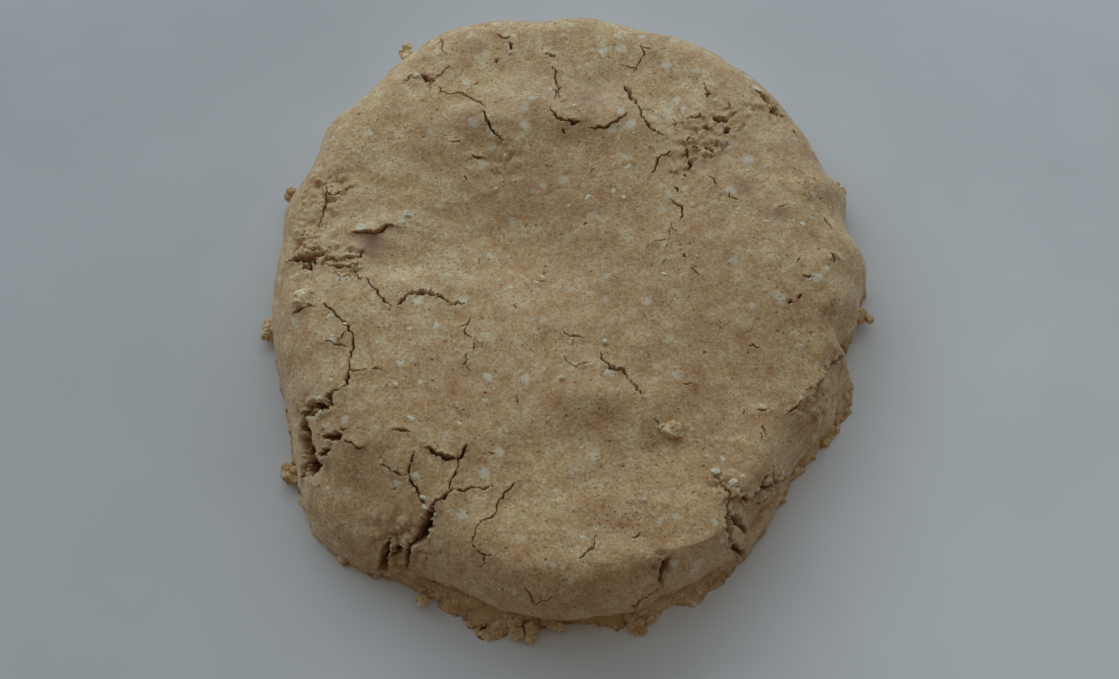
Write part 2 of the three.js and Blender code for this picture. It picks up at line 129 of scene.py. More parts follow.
# Hollows and humps left by hands: centre, half lengths, turn in degrees, rise
PRESSES = (
    Press(-2, 50, 26, 9, 0, 3.2),
    Press(-30, 48, 14, 8, 0, 1.2),
    Press(26, 42, 11, 8, -55, 1.5),
    Press(9, 58, 9, 8, 0, -1.6),
    Press(-14, 11, 22, 15, -25, -5.5),
    Press(45, 12, 22, 20, 0, 1.8),
    Press(64, -1, 10, 8, 0, 1.5),
    Press(-61, -10, 14, 8, 90, 1.8),
    Press(-45, 5, 8, 5, -40, -2),
    Press(-46, -36, 22, 34, 0, 2.6),
    Press(-28, -46, 22, 7, 5, 1.4),
    Press(8, -34, 15, 6, -14, 2.2),
    Press(29, -49, 21, 11, 12, -2.2),
    Press(-8, -48, 12, 7, 0, -1.4),
    Press(2, -77, 28, 9, 0, 1.2),
    Press(52, -28, 20, 14, 15, -2.2),
    Press(-54, -58, 13, 11, -45, -4),
    Press(62, -33, 12, 5, 52, 1),
    Press(68, -38, 24, 12, 58, -5.5),
    Press(46, -63, 8, 5, 40, -7),
)
# Cracks: widest width, deepest depth, lift of the side on the left of its path, path
CRACKS = (
    # Flake at the left edge
    Crack(0.6, 1.4, 0, ((-63.5, 27.5), (-63, 25), (-61, 24.5), (-58.5, 26), (-56.5, 27))),
    Crack(0.6, 1.4, -0.3, ((-63, 25), (-63, 22), (-63.5, 19), (-64.5, 15.5), (-65, 13.5))),
    Crack(1.1, 2.2, 0, ((-69.5, 11), (-68.5, 12), (-68, 14))),
    Crack(0.8, 2.2, 1.2, ((-55, 13), (-52.5, 13), (-50, 12.5), (-48, 13.5), (-46.5, 15), (-45, 15))),
    # Left fissure
    Crack(3, 5, 0.4, ((-71, 5), (-69.5, 5), (-67, 4.5), (-64.5, 6), (-62, 6))),
    Crack(1.8, 3, 0, ((-64.5, 5), (-66, 2.5), (-67.5, 1.5))),
    Crack(1, 2.6, 0.3, ((-62, 4.5), (-58.5, 3.5), (-55.5, 5), (-53, 5.5), (-52.5, 7.5))),
    Crack(0.8, 2.4, 0.3, ((-62.5, 3), (-59.5, 2), (-56.5, 2), (-53.5, 2.5), (-53, 4))),
    Crack(0.5, 1.2, 0, ((-58.5, 0.5), (-57.5, -1.5), (-55, -0.5))),
    Crack(0.5, 1.2, 0, ((-54.5, 2.5), (-53, -1.5), (-51, -1))),
    Crack(0.7, 2, 0, ((-51, -1), (-49.5, -3.5), (-48, -5), (-47, -7), (-46, -8.5), (-44, -10))),
    Crack(1.3, 3.5, 0.3, (
        (-42.5, -9), (-41, -7), (-39, -5.5), (-36, -5), (-33, -6), (-29.5, -8), (-25.5, -8),
    )),
    # Left arc and left break
    Crack(0.8, 2.6, 0.3, (
        (-61, -9.5), (-59.5, -11), (-58, -12.5), (-56, -14.5), (-54.5, -16), (-53, -19.5), (-53, -22.5),
        (-53.5, -26),
    )),
    Crack(0.9, 3, 0.3, ((-53.5, -26), (-53.5, -28), (-53.5, -30), (-54.5, -32.5), (-56, -33.5))),
    Crack(1.5, 4, 0.3, ((-56, -33.5), (-57.5, -33.5), (-58.5, -35), (-58, -36.5), (-59.5, -37.5))),
    Crack(3.6, 7, 0, ((-59, -37.5), (-61.5, -36.5), (-64.5, -37), (-66.5, -38.5))),
    Crack(4, 7, 0, ((-65, -37), (-66.5, -38.5), (-66, -41.5), (-65.5, -44.5), (-64, -49), (-63.5, -51.5))),
    Crack(0.6, 1.6, 0, ((-53.5, -28), (-51.5, -28.5), (-49, -28))),
    Crack(0.6, 1.2, 0, ((-48, -28), (-45, -28))),
    Crack(1.2, 2.6, 0.8, ((-69, -11), (-66.5, -10.5), (-64, -10))),
    Crack(2.6, 4, 0, ((-59.5, -44), (-57, -45), (-54.5, -44.5))),
    Crack(0.6, 1.6, 0, ((-55.5, -42.5), (-54.5, -43.5), (-53.5, -43.5))),
    Crack(0.7, 1.8, 0.3, ((-54, -46), (-52, -46.5), (-50.5, -48), (-49, -48))),
    Crack(2, 3, 0, ((-60.5, -48), (-58, -47.5))),
    Crack(0.6, 1.4, 0.4, ((-42, -44.5), (-40, -44.5), (-37.5, -45))),
    # Near left break
    Crack(0.7, 2.2, 0, ((-44.5, -52.5), (-42, -54), (-39.5, -55), (-37.5, -56))),
    Crack(0.9, 3, 0.3, (
        (-36.5, -50), (-37.5, -53.5), (-37.5, -56.5), (-36, -58.5), (-34.5, -61.5), (-33.5, -63),
    )),
    Crack(1, 3.5, 0.4, (
        (-21.5, -58.5), (-24, -59), (-26.5, -59.5), (-28.5, -60), (-30, -61.5), (-32.5, -63.5),
    )),
    Crack(0.5, 1.2, 0, ((-21.5, -58.5), (-17, -58))),
    Crack(0.6, 2, 0, ((-28, -59.5), (-27.5, -56.5), (-26.5, -55.5), (-26, -52.5))),
    Crack(1, 2.4, 0.3, ((-26, -52.5), (-25.5, -51), (-24, -48))),
    Crack(1.3, 2.4, 0.8, ((-33.5, -49), (-32, -50), (-30, -50.5), (-28, -51.5), (-26.5, -51.5))),
    Crack(3.2, 9, 0, ((-32, -63.5), (-33, -65.5), (-34.5, -68.5), (-37, -70.5))),
    Crack(1.6, 4, 0, ((-37, -70.5), (-38.5, -72.5), (-39, -75))),
    Crack(3.4, 6, 0, ((-39.5, -71), (-41, -71.5), (-43, -72))),
    Crack(2.4, 6, 0, ((-42.5, -69), (-44, -72), (-45, -74))),
    Crack(3, 8, 0, ((-44.5, -71.5), (-45.5, -73.5), (-46.5, -76))),
    Crack(0.6, 1.8, 0, ((-11, -56.5), (-13.5, -58.5), (-16, -61), (-16.5, -64), (-18, -66), (-20, -67))),
    Crack(0.6, 1.8, 0, (
        (-20, -67), (-21.5, -69), (-22, -71), (-21.5, -73), (-19, -75), (-19, -76.5), (-22, -77.5),
    )),
    Crack(0.5, 1.4, 0, ((-19, -75), (-17.5, -75))),
    Crack(0.9, 1.8, 0, ((-9.5, -82.5), (-8, -84.5), (-5, -84.5), (-2.5, -84))),
    # Right block and right wall
    Crack(0.8, 2.5, 0, ((35.5, -54), (37, -56), (38, -57.5))),
    Crack(1.2, 4, 0, ((38, -57.5), (39.5, -60), (39, -63))),
    Crack(2.6, 7, 0, ((39, -63), (39, -66), (39.5, -69.5), (42, -70))),
    Crack(3, 6, 0, ((39.5, -64.5), (42.5, -65), (44, -65.5))),
    Crack(2.4, 5, 0, ((40, -69.5), (44, -68.5))),
    Crack(1.8, 4.5, 0.8, ((42, -60.5), (45.5, -58), (49, -55.5), (53, -52.5), (54, -50.5))),
    Crack(1.8, 4, 0, ((47.5, -56.5), (49, -53.5))),
    Crack(1.2, 3, 0.8, ((46.5, -59), (49.5, -57), (52, -53), (54, -51), (56, -48.5))),
    Crack(0.7, 2, 0.8, (
        (62.5, -39.5), (63.5, -36.5), (62.5, -34), (62.5, -31), (64, -27.5), (66.5, -23.5),
    )),
    Crack(2.6, 5, 0, ((66.5, -23.5), (68, -21.5), (70.5, -19.5))),
    Crack(0.5, 1.4, 0, ((47.5, -36.5), (51, -36.5))),
    Crack(0.5, 1.4, 0, ((47.5, -42.5), (48, -45))),
    Crack(0.7, 1.6, 0, ((55, -36.5), (57, -35.5), (58.5, -33.5))),
    # Far middle and crags
    Crack(1.2, 4, 0, ((16, 60), (17, 58), (18.5, 54.5), (19.5, 52))),
    Crack(0.7, 2.2, 0.2, (
        (19.5, 52), (20.5, 50), (20.5, 48), (21.5, 46.5), (23, 44), (24.5, 43), (26, 42),
    )),
    Crack(0.4, 1, 0, ((20.5, 50), (23, 50.5), (24.5, 49), (25.5, 48.5))),
    Crack(0.5, 1.2, 0, ((29, 47.5), (29.5, 46), (29, 44))),
    Crack(0.5, 1.4, 0.4, ((33, 48.5), (38, 48.5))),
    Crack(2.4, 3, 0, ((40.5, 49), (43.5, 48))),
    Crack(1.6, 2.4, 0, ((37, 46), (39, 45.5))),
    Crack(1.8, 2.4, 0, ((42.5, 44), (44.5, 45.5))),
    Crack(2.4, 3, 0, ((37.5, 39), (40, 38.5))),
    Crack(1.5, 2, 0, ((34, 39), (35.5, 38.5))),
    Crack(0.6, 1.6, 0, ((32.5, 40.5), (33, 41.5), (35, 41.5))),
    Crack(1, 2.2, 0, ((32.5, 38), (32.5, 35.5))),
    Crack(1.3, 2.2, 0, ((33, 34.5), (33, 32))),
    Crack(0.9, 1.6, 0, ((31.5, 30.5), (32, 30))),
    Crack(0.9, 2.4, 0.6, ((40.5, 26.5), (38, 29.5))),
    Crack(0.8, 2.5, 0, ((23, 31), (24, 33), (24.5, 35), (25.5, 36))),
    Crack(0.6, 1.6, 0, ((25.5, 36), (27.5, 36.5), (28, 37.5))),
    Crack(1.2, 2.2, 0, ((29, 26.5), (29.5, 25))),
    Crack(0.7, 1.8, 0, ((28, 22.5), (29.5, 21), (30.5, 19.5), (30, 16.5))),
    Crack(0.5, 1.2, 0, ((43, 25), (43, 22.5), (45.5, 22))),
    Crack(0.6, 1.6, 0, ((38, 60.5), (39, 57.5), (38.5, 55))),
    Crack(1.1, 2, 0, ((39, 57.5), (39.5, 56.5))),
    Crack(0.5, 1.2, 0, ((44.5, 55.5), (45, 51.5), (46.5, 49))),
    Crack(1.2, 3.5, 0.6, ((52.5, 60), (54.5, 58.5), (56, 56.5), (57, 54), (59, 52.5), (60, 52.5))),
    # Far edge
    Crack(0.6, 1.4, 0, ((-35, 78.5), (-34.5, 73), (-32.5, 70))),
    Crack(1.8, 2.4, 0, ((-44, 61.5), (-42.5, 63.5))),
    Crack(2, 2.6, 0, ((-39.5, 63), (-36, 61))),
    Crack(0.7, 1.8, 0, ((-36, 62), (-34, 63.5), (-31.5, 66.5))),
    Crack(0.5, 1.2, 0, ((-37, 57.5), (-37, 59.5))),
    Crack(0.7, 2, 0, (
        (-34.5, 59), (-34, 57), (-31, 56), (-28, 56.5), (-25.5, 54.5), (-23, 53), (-21.5, 51),
    )),
    Crack(1, 2.8, 0.3, ((-22.5, 50), (-21.5, 47.5), (-20.5, 45.5), (-19, 43), (-16.5, 41))),
    Crack(0.9, 1.6, 0, ((-19, 77.5), (-17.5, 76), (-15.5, 76.5))),
    Crack(1.2, 2, 0, ((-15, 74.5), (-15, 72))),
    Crack(1.2, 1.6, 0, ((-19.5, 68.5), (-19, 67.5))),
    Crack(1, 1.6, 0, ((-5.5, 71), (-2.5, 70))),
    Crack(0.8, 2, 0, ((-3.5, 66), (-2.5, 64.5), (-2.5, 60.5), (-1.5, 58.5), (-3, 53.5))),
    Crack(1.5, 2.4, 0, ((-2.5, 57.5), (-2.5, 55))),
    Crack(0.7, 1.8, 0, ((-4, 50.5), (-3, 48), (0, 46))),
    Crack(1.1, 2.2, 0.4, ((0, 46), (4, 46))),
    Crack(0.7, 1.6, 0.2, ((6.5, 44.5), (10, 44.5), (14, 46.5), (16.5, 49))),
    Crack(0.9, 1.6, 0, ((-0.5, 44), (0, 42.5))),
    # Middle
    Crack(0.6, 1.5, 0, ((-0.5, -16.5), (1, -17.5), (3, -17.5), (4.5, -18))),
    Crack(0.45, 1.2, 0, ((-0.5, -23), (0.5, -25), (2.5, -26.5), (4.5, -25.5), (6.5, -25))),
    Crack(0.6, 2, 0.3, ((8.5, -22), (9.5, -24.5), (11, -26))),
    Crack(1.2, 3.2, 0.4, ((10.5, -25.5), (11, -27), (12.5, -27), (14.5, -27.5), (15.5, -29.5))),
    Crack(0.6, 2, 0.3, ((15.5, -29.5), (17, -31.5), (17.5, -33), (18.5, -33), (19, -34.5))),
    Crack(0.5, 1.2, 0, ((21.5, -40), (22.5, -42))),
    # Near face
    Crack(3.2, 5.5, 0, ((22.5, -80), (23.5, -78), (24.5, -76))),
    Crack(1, 3, 0, ((14.5, -84), (17.5, -83), (20.5, -81.5), (22.5, -80))),
    # Short cracks and pits
    Crack(0.52, 1.5, 0, ((-31, 40.5), (-28, 41))),
    Crack(0.6, 1.6, 0, ((-25, 37), (-22, 36.5))),
    Crack(0.45, 1.5, 0, ((-24.2, -11.8), (-25.6, -16.2), (-22, -19.7))),
    Crack(0.4, 1.2, 0, ((-24.5, -22.5), (-25.5, -27))),
    Crack(0.52, 1.5, 0, ((-60, -20), (-54.8, -21.5))),
    Crack(0.45, 1.2, 0, ((48.3, -40.5), (49, -44))),
    Crack(0.6, 1.8, 0, ((1.5, -77), (4, -75.6), (6.3, -74), (7, -70.5))),
    Crack(0.45, 1.4, 0, ((17.5, -69.5), (15.5, -71))),
    Crack(0.52, 2, 0, ((21, 75), (22, 70), (18.7, 64))),
    Crack(1.12, 2, 0, ((62.3, 48.4), (63, 47.2))),
    Crack(0.45, 1.2, 0, ((44, 67.5), (47.5, 67))),
    Crack(0.68, 2, 0, ((68, 18), (70, 14))),
    Crack(0.9, 1.5, 0, ((66, 30.5), (66.4, 29.4))),
    Crack(0.4, 0.7, 0, ((28.2, 17), (27.2, 12), (25.5, 7))),
    Crack(0.52, 1.3, 0, ((32.5, 2.5), (34, -0.7))),
    Crack(0.9, 1.3, 0, ((30.4, 5.8), (31, 5))),
    Crack(0.52, 1.3, 0, ((-15, -6.5), (-13.4, -7.6), (-12.4, -9.3))),
    Crack(0.52, 1.3, 0, ((46, -19.5), (49, -20))),
    Crack(1.12, 1.6, 0, ((56.6, -8.4), (57.4, -7.4))),
    Crack(1.12, 1.6, 0, ((59, -7), (60, -6))),
    Crack(0.68, 1.6, 0, ((60.5, -0.7), (64, -1))),
    Crack(2, 3, 0, ((69, 6.2), (69.2, 3.8))),
)
# Crumbly, broken places: centre, reach, strength
CRUMBLY_ZONES = (
    Zone(38.5, 42, 8.5, 0.75),
    Zone(27, 46, 8, 0.2),
    Zone(48, 52, 8, 0.25),
    Zone(33, 33, 6, 0.3),
    Zone(-64, 28, 8, 0.9),
    Zone(-65, 6, 7, 0.8),
    Zone(-56, 4, 6, 0.5),
    Zone(-64, -38, 5, 0.5),
    Zone(-40, 64, 6, 0.7),
    Zone(-17, 35, 8, 0.5),
    Zone(-40, -71, 8, 0.9),
    Zone(40, -57, 6, 0.8),
    Zone(-58, -45, 5, 0.3),
    Zone(58, -38, 5, 0.5),
    Zone(64, -31, 5, 0.6),
    Zone(70, -22, 5, 0.5),
    Zone(-70, 14, 7, 0.6),
    Zone(56, 53, 6, 0.6),
    Zone(22, -78, 5, 0.6),
)
# Pressed, darker stains, and one broad patch that is partly painted shade: centre, reach, strength
STAINS_AND_PAINTED_SHADE = (
    Zone(-50.4, 9.7, 3.4, 1),
    Zone(55.3, 17.6, 2.6, 0.6),
    Zone(46.6, 26.3, 3.2, 0.6),
    Zone(47.3, 39.6, 5, 0.3),
    Zone(-24.5, 71.9, 3, 0.5),
    Zone(-25.2, 47.3, 3.4, 0.5),
    Zone(7.5, 55, 9, 0.35),
    Zone(-10, 58, 7, 0.3),
    # Broad darker patch over the middle right: partly greasier pressed dough, partly painted shade of a broad
    # hollow
    Zone(18, 10, 34, 0.14),
)
# Paler, cooler places, partly drier dough and partly painted light, the cool sheen and brighter light that
# the far, left and right sides catch: centre, reach, strength
DRY_AND_PAINTED_LIGHT_ZONES = (
    Zone(-48, 16, 20, 0.9),
    Zone(-34, -12, 17, 0.7),
    Zone(-60, -34, 13, 0.8),
    Zone(-8, 66, 20, 0.9),
    Zone(40, 54, 20, 0.8),
    Zone(68, 8, 18, 0.9),
    Zone(60, -30, 10, 0.6),
)
# Pinches of dough on the top: centre, radius, thickness as a share of it
TOP_LUMPS = (
    Lump(25.9, -42.8, 2.3, 0.5),
    Lump(24, -42, 1.1, 0.6),
    Lump(27, -43.4, 1.4, 0.6),
    Lump(-67, -7.5, 2.6, 0.4),
    Lump(-65.3, -6.6, 1.7, 0.5),
    Lump(-68, -9, 1.5, 0.5),
)
# Lumps that cling to the edge: angle, distance out, height, radius
EDGE_LUMPS = (
    EdgeLump(184, 1.4, 3, 2.8),
    EdgeLump(155, 1.2, 4, 2.6),
    EdgeLump(359, 1.4, 3, 2.8),
    EdgeLump(26, 1, 5, 2.4),
    EdgeLump(119.5, 1, 12, 2.6),
    EdgeLump(214, 1, 2, 2.6),
    EdgeLump(263, 0.5, 2, 3.4),
    EdgeLump(268, 0.5, 1.6, 2.6),
    EdgeLump(282, 0.5, 1.8, 3.2),
    EdgeLump(247, 0.5, 2.4, 3.2),
)
# Pale almond grains that stand out of the dough: centre, radius
ALMOND_GRAINS = (
    Grain(-41, 63.5, 1.1),
    Grain(-15, 71, 0.8),
    Grain(-4.5, 57, 0.9),
    Grain(0.5, 47.5, 0.8),
    Grain(-21.5, 56, 0.9),
    Grain(7, -25.5, 0.9),
    Grain(-1.5, -30, 0.7),
    Grain(10, -19, 0.6),
    Grain(-33.5, -63, 0.8),
    Grain(-42, 18.5, 1.2),
    Grain(36.5, -53.5, 0.9),
    Grain(40.5, -56.5, 1),
    Grain(41, -58.5, 0.9),
    Grain(-60.5, -38.5, 0.7),
    Grain(-42, -32, 0.9),
)

# Slab: rings of points on the top, rows down the wall, and the rim of the underside
TOP_RINGS = 66
FIRST_RING_POINTS = 6
WALL_ROWS = 34
WALL_CROWDING = 1.6
UNDERSIDE_RIM = 0.93
# Wander of the foot's edge: waves round the outline, their start in radians, and their size
RAGGED_WAVES = ((17, 1.3, 0.5), (31, 0.4, 0.35), (53, 2.1, 0.3))
UNDERCUT_WANDER = 0.7
UNDERCUT_TAPER = 0.7

# Edge lengths of the mesh on plain, crumbly and cracked dough, and how fast they grow beside a crack
COARSE_EDGE = 1.2
CRUMB_EDGE = 0.36
CRACK_EDGE = 0.18
CRACK_EDGE_SHARE = 0.28
EDGE_GROWTH = 0.5
EDGE_SLACK = 1.4
REFINE_PASSES = 3

# Cracks: wander between the bends, side branches and hairlines
LEAST_CRACK = 0.45
CRACK_POINT_GAP = 0.25
CRACK_KNOT_GAP = 1.0
CRACK_WANDER = 0.4
CRACK_WIDTHS = (0.5, 1.2)
CRACK_TAPER = 0.4
CRACK_TIP = 0.03
LIFT_SPREAD = 0.3
BRANCH_GAP = 4.5
BRANCH_PLACE = (0.2, 0.8)
BRANCH_TURN = (0.6, 1.4)
BRANCH_LENGTH = (1.5, 4.5)
BRANCH_WIDTH = 0.6
BRANCH_DEPTH = 0.5
HAIRLINES = 26
HAIRLINE_REACH = 72
HAIRLINE_LENGTH = (1.5, 4.5)
HAIRLINE_DEPTH = (0.3, 0.7)
RANDOM_SEED = 20

# Heights that tell the underside, the crumbly foot, the flecked dough and the pressed top apart
UNDERSIDE_TOP = 0.02
CRUMBLY_FOOT = 4.5
LOWEST_FLECK = 3
LOWEST_STAIN_AND_PAINTED_SHADE = 8
# How broken the foot is, and how much of it crumbs cover: plain, and for each millimetre of spread
FOOT_BREAKAGE = 0.8
FOOT_COVER = 0.25
FOOT_COVER_GAIN = 0.3

# Lumps: how far one stands up, and the bits that make up a lump at the edge
LUMP_STAND = 0.3
LUMP_UNEVENNESS = 0.0016
LUMP_CRUMBLE = 0.0019
CLUSTER_BITS = 8
CLUSTER_SPREAD = 0.75
CLUSTER_RADIUS = (0.3, 0.65)
CLUSTER_FLATTEN = (0.35, 0.8)
GRAIN_FLATTEN = 0.45

# Scattered bits: mask that they follow, thickness, share sunk in, unevenness in metres, subdivisions, seed
Bits = namedtuple("Bits", "piece mask flatten sink unevenness detail seed")
FOOT_CRUMBS = Bits("foot_crumbs", "foot", 0.75, 0.35, 0.0018, 2, 3)
CRACK_CRUMBS = Bits("crack_crumbs", "loose", 0.7, 0.3, 0.0009, 1, 7)
ALMOND_FLECKS = Bits("almond_flecks", "fleck", 0.16, 0.12, 0.0009, 2, 11)
LEAST_STRETCH = (0.7, 0.7, 0.7)
MOST_STRETCH = (1.35, 1.35, 1.1)
SMALL_BITS = 2.5

# Relief: patterns for each metre, and lengths in metres
SOFT_BENDS = 260.0
CRACK_CHUNKS = 900.0
CRACK_BEND = 0.0006
CRACK_PROFILE = 2.6
RIM_REACH = 0.0016
LIFT_REACH = 0.006
CRUMB_BEND = 0.0026
FINER_CRUMBS = 2.3
PLATE_TILT = 2.4
PLATE_STEP = 0.8
PLATE_GAP = 0.1
CREVICE_SHARE = 0.6
FINE_CRUMB_SHARE = 0.5
ROUGH_PATCHES = 70.0
ROUGH_PATCH_SHARE = 0.18
CRUMBLE_REACH = 0.0014
CRUMBLE_SHARE = 0.35
CRUMBLE_HALF_WIDTHS = (0.0001, 0.0006)
RIM_MARK_REACH = (-0.0003, 0.0012)
RIM_MARK_HALF_WIDTHS = (0.0002, 0.0008)
LOOSE_SHARE = 0.8
BIT_BENDS = 620.0
CRUMBLE_BENDS = 750.0
# How far down a face looks on the underside, which has no relief
UNDERSIDE_FACING = (-0.97, -0.85)
# The floor holds everything above it: lowest X, Y and Z
LOWEST_PLACE = (-1.0, -1.0, 0.0)
HALVES = (0.5, 0.5, 0.5)

# Mottling of the dough: patterns for each metre, detail, roughness, darkest and lightest shade
Mottle = namedtuple("Mottle", "scale detail roughness dark light")
MOTTLES = (
    Mottle(130.0, 2.0, 0.5, 0.87, 1.13),
    Mottle(300.0, 5.0, 0.7, 0.74, 1.26),
    Mottle(1300.0, 2.0, 0.6, 0.72, 1.28),
)
# How red, green and blue follow the mottling: dark spots are warmer, light ones paler
SHADE_POWERS = (0.62, 1.1, 1.6)
# Spots in the dough: cells for each metre, share of cells with a spot, radius in cells, strength
Spots = namedtuple("Spots", "scale share radius strength")
LARGE_FLECKS = Spots(190.0, 0.62, (0.1, 0.36), (0.5, 1.0))
SMALL_FLECKS = Spots(420.0, 0.6, (0.14, 0.4), (0.05, 0.5))
WARM_SPOTS = Spots(620.0, 0.6, (0.2, 0.5), (0.1, 0.5))
FINE_SPECKS = Spots(950.0, 0.8, (0.12, 0.38), (0.2, 0.8))
DARK_SPECKS = Spots(330.0, 0.8, (0.08, 0.19), (0.45, 1.0))
CRUMB_FLECK_SHARE = 0.2
SPOT_EDGE = 2.2
FLECK_BEND = 0.0026
SEAM_BEND = 0.009
# How much lighter and cooler these places are in red, green and blue: partly drier dough, partly painted
# light
DRY_AND_PAINTED_LIGHT_TONE = (1.1, 1.17, 1.25)
# Finish of each material: distance in metres and strength of its bump
Bump = namedtuple("Bump", "distance strength")
DOUGH_BUMP = Bump(0.0008, 0.42)
CRUMB_BUMP = Bump(0.0003, 0.6)
FLECK_BUMP = Bump(0.00015, 0.6)
FLOOR_BUMP = Bump(0.0002, 0.1)
SPECULAR = 0.3
DOUGH_SHEEN = 0.2
SHEEN_ROUGHNESS = 0.6

# Stage, in metres
FLOOR_HALF = 1.5
KEY_WIDTH = 1.5
KEY_HEIGHT = 0.45
KEY_PLACE = (-0.15, 0.6, 0.41)
KEY_COLOUR = (0.87, 1.0, 1.09)
BRIGHT_SIDE = (0.0, 1.0, 0.0)
NEAR_LIGHT = (0.43, 0.275, 0.13)
FAR_LIGHT = (1.27, 1.45, 1.57)
SENSOR_WIDTH = 36.0


class DoughShape(bpy.types.PropertyGroup):
    """Sizes of the dough round"""

    width: bpy.props.FloatProperty(
        name="Width", description="Across X at the foot, before its lobes", default=0.156, unit="LENGTH")
    length: bpy.props.FloatProperty(
        name="Length", description="Across Y at the foot, before its lobes", default=0.174, unit="LENGTH")
    thickness: bpy.props.FloatProperty(
        name="Thickness", description="Slab before hands pressed its top", default=0.022, unit="LENGTH")
    outline_power: bpy.props.FloatProperty(
        name="Outline Power", description="2 is an ellipse, more is squarer", default=2.2)
    shoulder_run: bpy.props.FloatProperty(
        name="Shoulder Run", description="From the flat top's rim to the wall", default=0.017, unit="LENGTH")
    shoulder_power: bpy.props.FloatProperty(
        name="Shoulder Power", description="Roundness of the edge, 2 is a quarter ellipse", default=2.3)
    foot_height: bpy.props.FloatProperty(
        name="Foot Height", description="Height of the crumbly foot", default=0.004, unit="LENGTH")
    foot_ragged: bpy.props.FloatProperty(
        name="Foot Raggedness", description="How far the foot's edge wanders", default=0.0004, unit="LENGTH")
    lump_height: bpy.props.FloatProperty(
        name="Soft Lump Height", description="Soft unevenness of the surface", default=0.0009, unit="LENGTH")
    lump_size: bpy.props.FloatProperty(
        name="Soft Lump Size", description="Spacing of the soft unevenness", default=0.011, unit="LENGTH")
    grain_height: bpy.props.FloatProperty(
        name="Grain Height", description="Coarse grain of the surface", default=0.0002, unit="LENGTH")
    grain_size: bpy.props.FloatProperty(
        name="Grain Size", description="Spacing of the coarse grain", default=0.0042, unit="LENGTH")
    crumb_height: bpy.props.FloatProperty(
        name="Crumb Height", description="Relief of broken, crumbly places", default=0.0012, unit="LENGTH")
    crumb_size: bpy.props.FloatProperty(
        name="Crumb Size", description="Crumbs in broken places", default=0.0042, unit="LENGTH")
    crack_ragged: bpy.props.FloatProperty(
        name="Crack Raggedness", description="How far a crack's edge wanders", default=0.0003, unit="LENGTH")
    rim_lift: bpy.props.FloatProperty(
        name="Crack Rim Lift", description="How far dough rises at a crack", default=0.00018, unit="LENGTH")


class BitSizes(bpy.types.PropertyGroup):
    """Sizes and numbers of the crumbs and flecks"""

    foot_crumbs_per_m2: bpy.props.FloatProperty(
        name="Foot Crumbs", description="Crumbs on each square metre of foot", default=260000.0)
    foot_crumb: bpy.props.FloatVectorProperty(
        name="Foot Crumb Radius", description="Smallest and largest", size=2, unit="LENGTH",
        default=(0.0003, 0.0016))
    rim_crumbs_per_m2: bpy.props.FloatProperty(
        name="Crack Crumbs", description="Crumbs on each square metre of broken surface", default=220000.0)
    rim_crumb: bpy.props.FloatVectorProperty(
        name="Crack Crumb Radius", description="Smallest and largest", size=2, unit="LENGTH",
        default=(0.0002, 0.0008))
    flecks_per_m2: bpy.props.FloatProperty(
        name="Almond Flecks", description="Flecks on each square metre of dough", default=5000.0)
    fleck: bpy.props.FloatVectorProperty(
        name="Fleck Radius", description="Smallest and largest", size=2, unit="LENGTH",
        default=(0.0003, 0.001))


class DoughColours(bpy.types.PropertyGroup):
    """Colours of the dough, linear"""

    dough: bpy.props.FloatVectorProperty(
        name="Dough", description="Toasted dough", size=3, subtype="COLOR",
        default=(0.700, 0.470, 0.236))
    warm: bpy.props.FloatVectorProperty(
        name="Warm Patches", description="Browner patches of the dough", size=3, subtype="COLOR",
        default=(0.580, 0.352, 0.170))
    pale: bpy.props.FloatVectorProperty(
        name="Pale Flecks", description="Ground almond in the surface", size=3, subtype="COLOR",
        default=(0.850, 0.775, 0.580))
    speck: bpy.props.FloatVectorProperty(
        name="Dark Specks", description="Fine toasted specks", size=3, subtype="COLOR",
        default=(0.200, 0.095, 0.045))
    crumb: bpy.props.FloatVectorProperty(
        name="Crumb", description="Freshly broken dough", size=3, subtype="COLOR",
        default=(0.785, 0.585, 0.330))
    # Painted shade: this dark, warm brown deep in a crack stands in for the shade and warm bounce light there
    crack: bpy.props.FloatVectorProperty(
        name="Crack", description="Dough deep in a crack", size=3, subtype="COLOR",
        default=(0.240, 0.105, 0.035))
    # Painted shade: this warm brown at a crack's mouth and in the crevices between broken plates stands in
    # for the shade and warm bounce light there
    crevice: bpy.props.FloatVectorProperty(
        name="Crevice", description="Dough at a crack's mouth", size=3, subtype="COLOR",
        default=(0.500, 0.235, 0.075))
    # Also partly painted shade: the broad patch over the middle right uses this colour for a broad hollow's
    # shade
    stain_and_painted_shade: bpy.props.FloatVectorProperty(
        name="Stain", description="Darker, greasier pressed spots", size=3, subtype="COLOR",
        default=(0.365, 0.200, 0.145))


class StageSettings(bpy.types.PropertyGroup):
    """Floor, light and camera"""

    floor: bpy.props.FloatVectorProperty(
        name="Floor", description="Pale floor", size=3, subtype="COLOR", default=(0.665, 0.685, 0.70))
    key_power: bpy.props.FloatProperty(
        name="Key Light", description="Large soft light from the far side", default=3.0, unit="POWER")
    fill_strength: bpy.props.FloatProperty(
        name="Fill", description="Soft light from all round", default=0.24)
    aim: bpy.props.FloatVectorProperty(
        name="Camera Aim", description="Point in the middle of the picture", size=3,
        default=(-0.00158, -0.01328, 0.012), subtype="XYZ", unit="LENGTH")
    distance: bpy.props.FloatProperty(
        name="Camera Distance", description="From the aim to the camera", default=0.402, unit="LENGTH")
    elevation: bpy.props.FloatProperty(
        name="Camera Elevation", description="Above the floor", default=math.radians(63.0), subtype="ANGLE")
    lens: bpy.props.FloatProperty(
        name="Camera Lens", description="Focal length in millimetres", default=50.0)


# The dough's surface

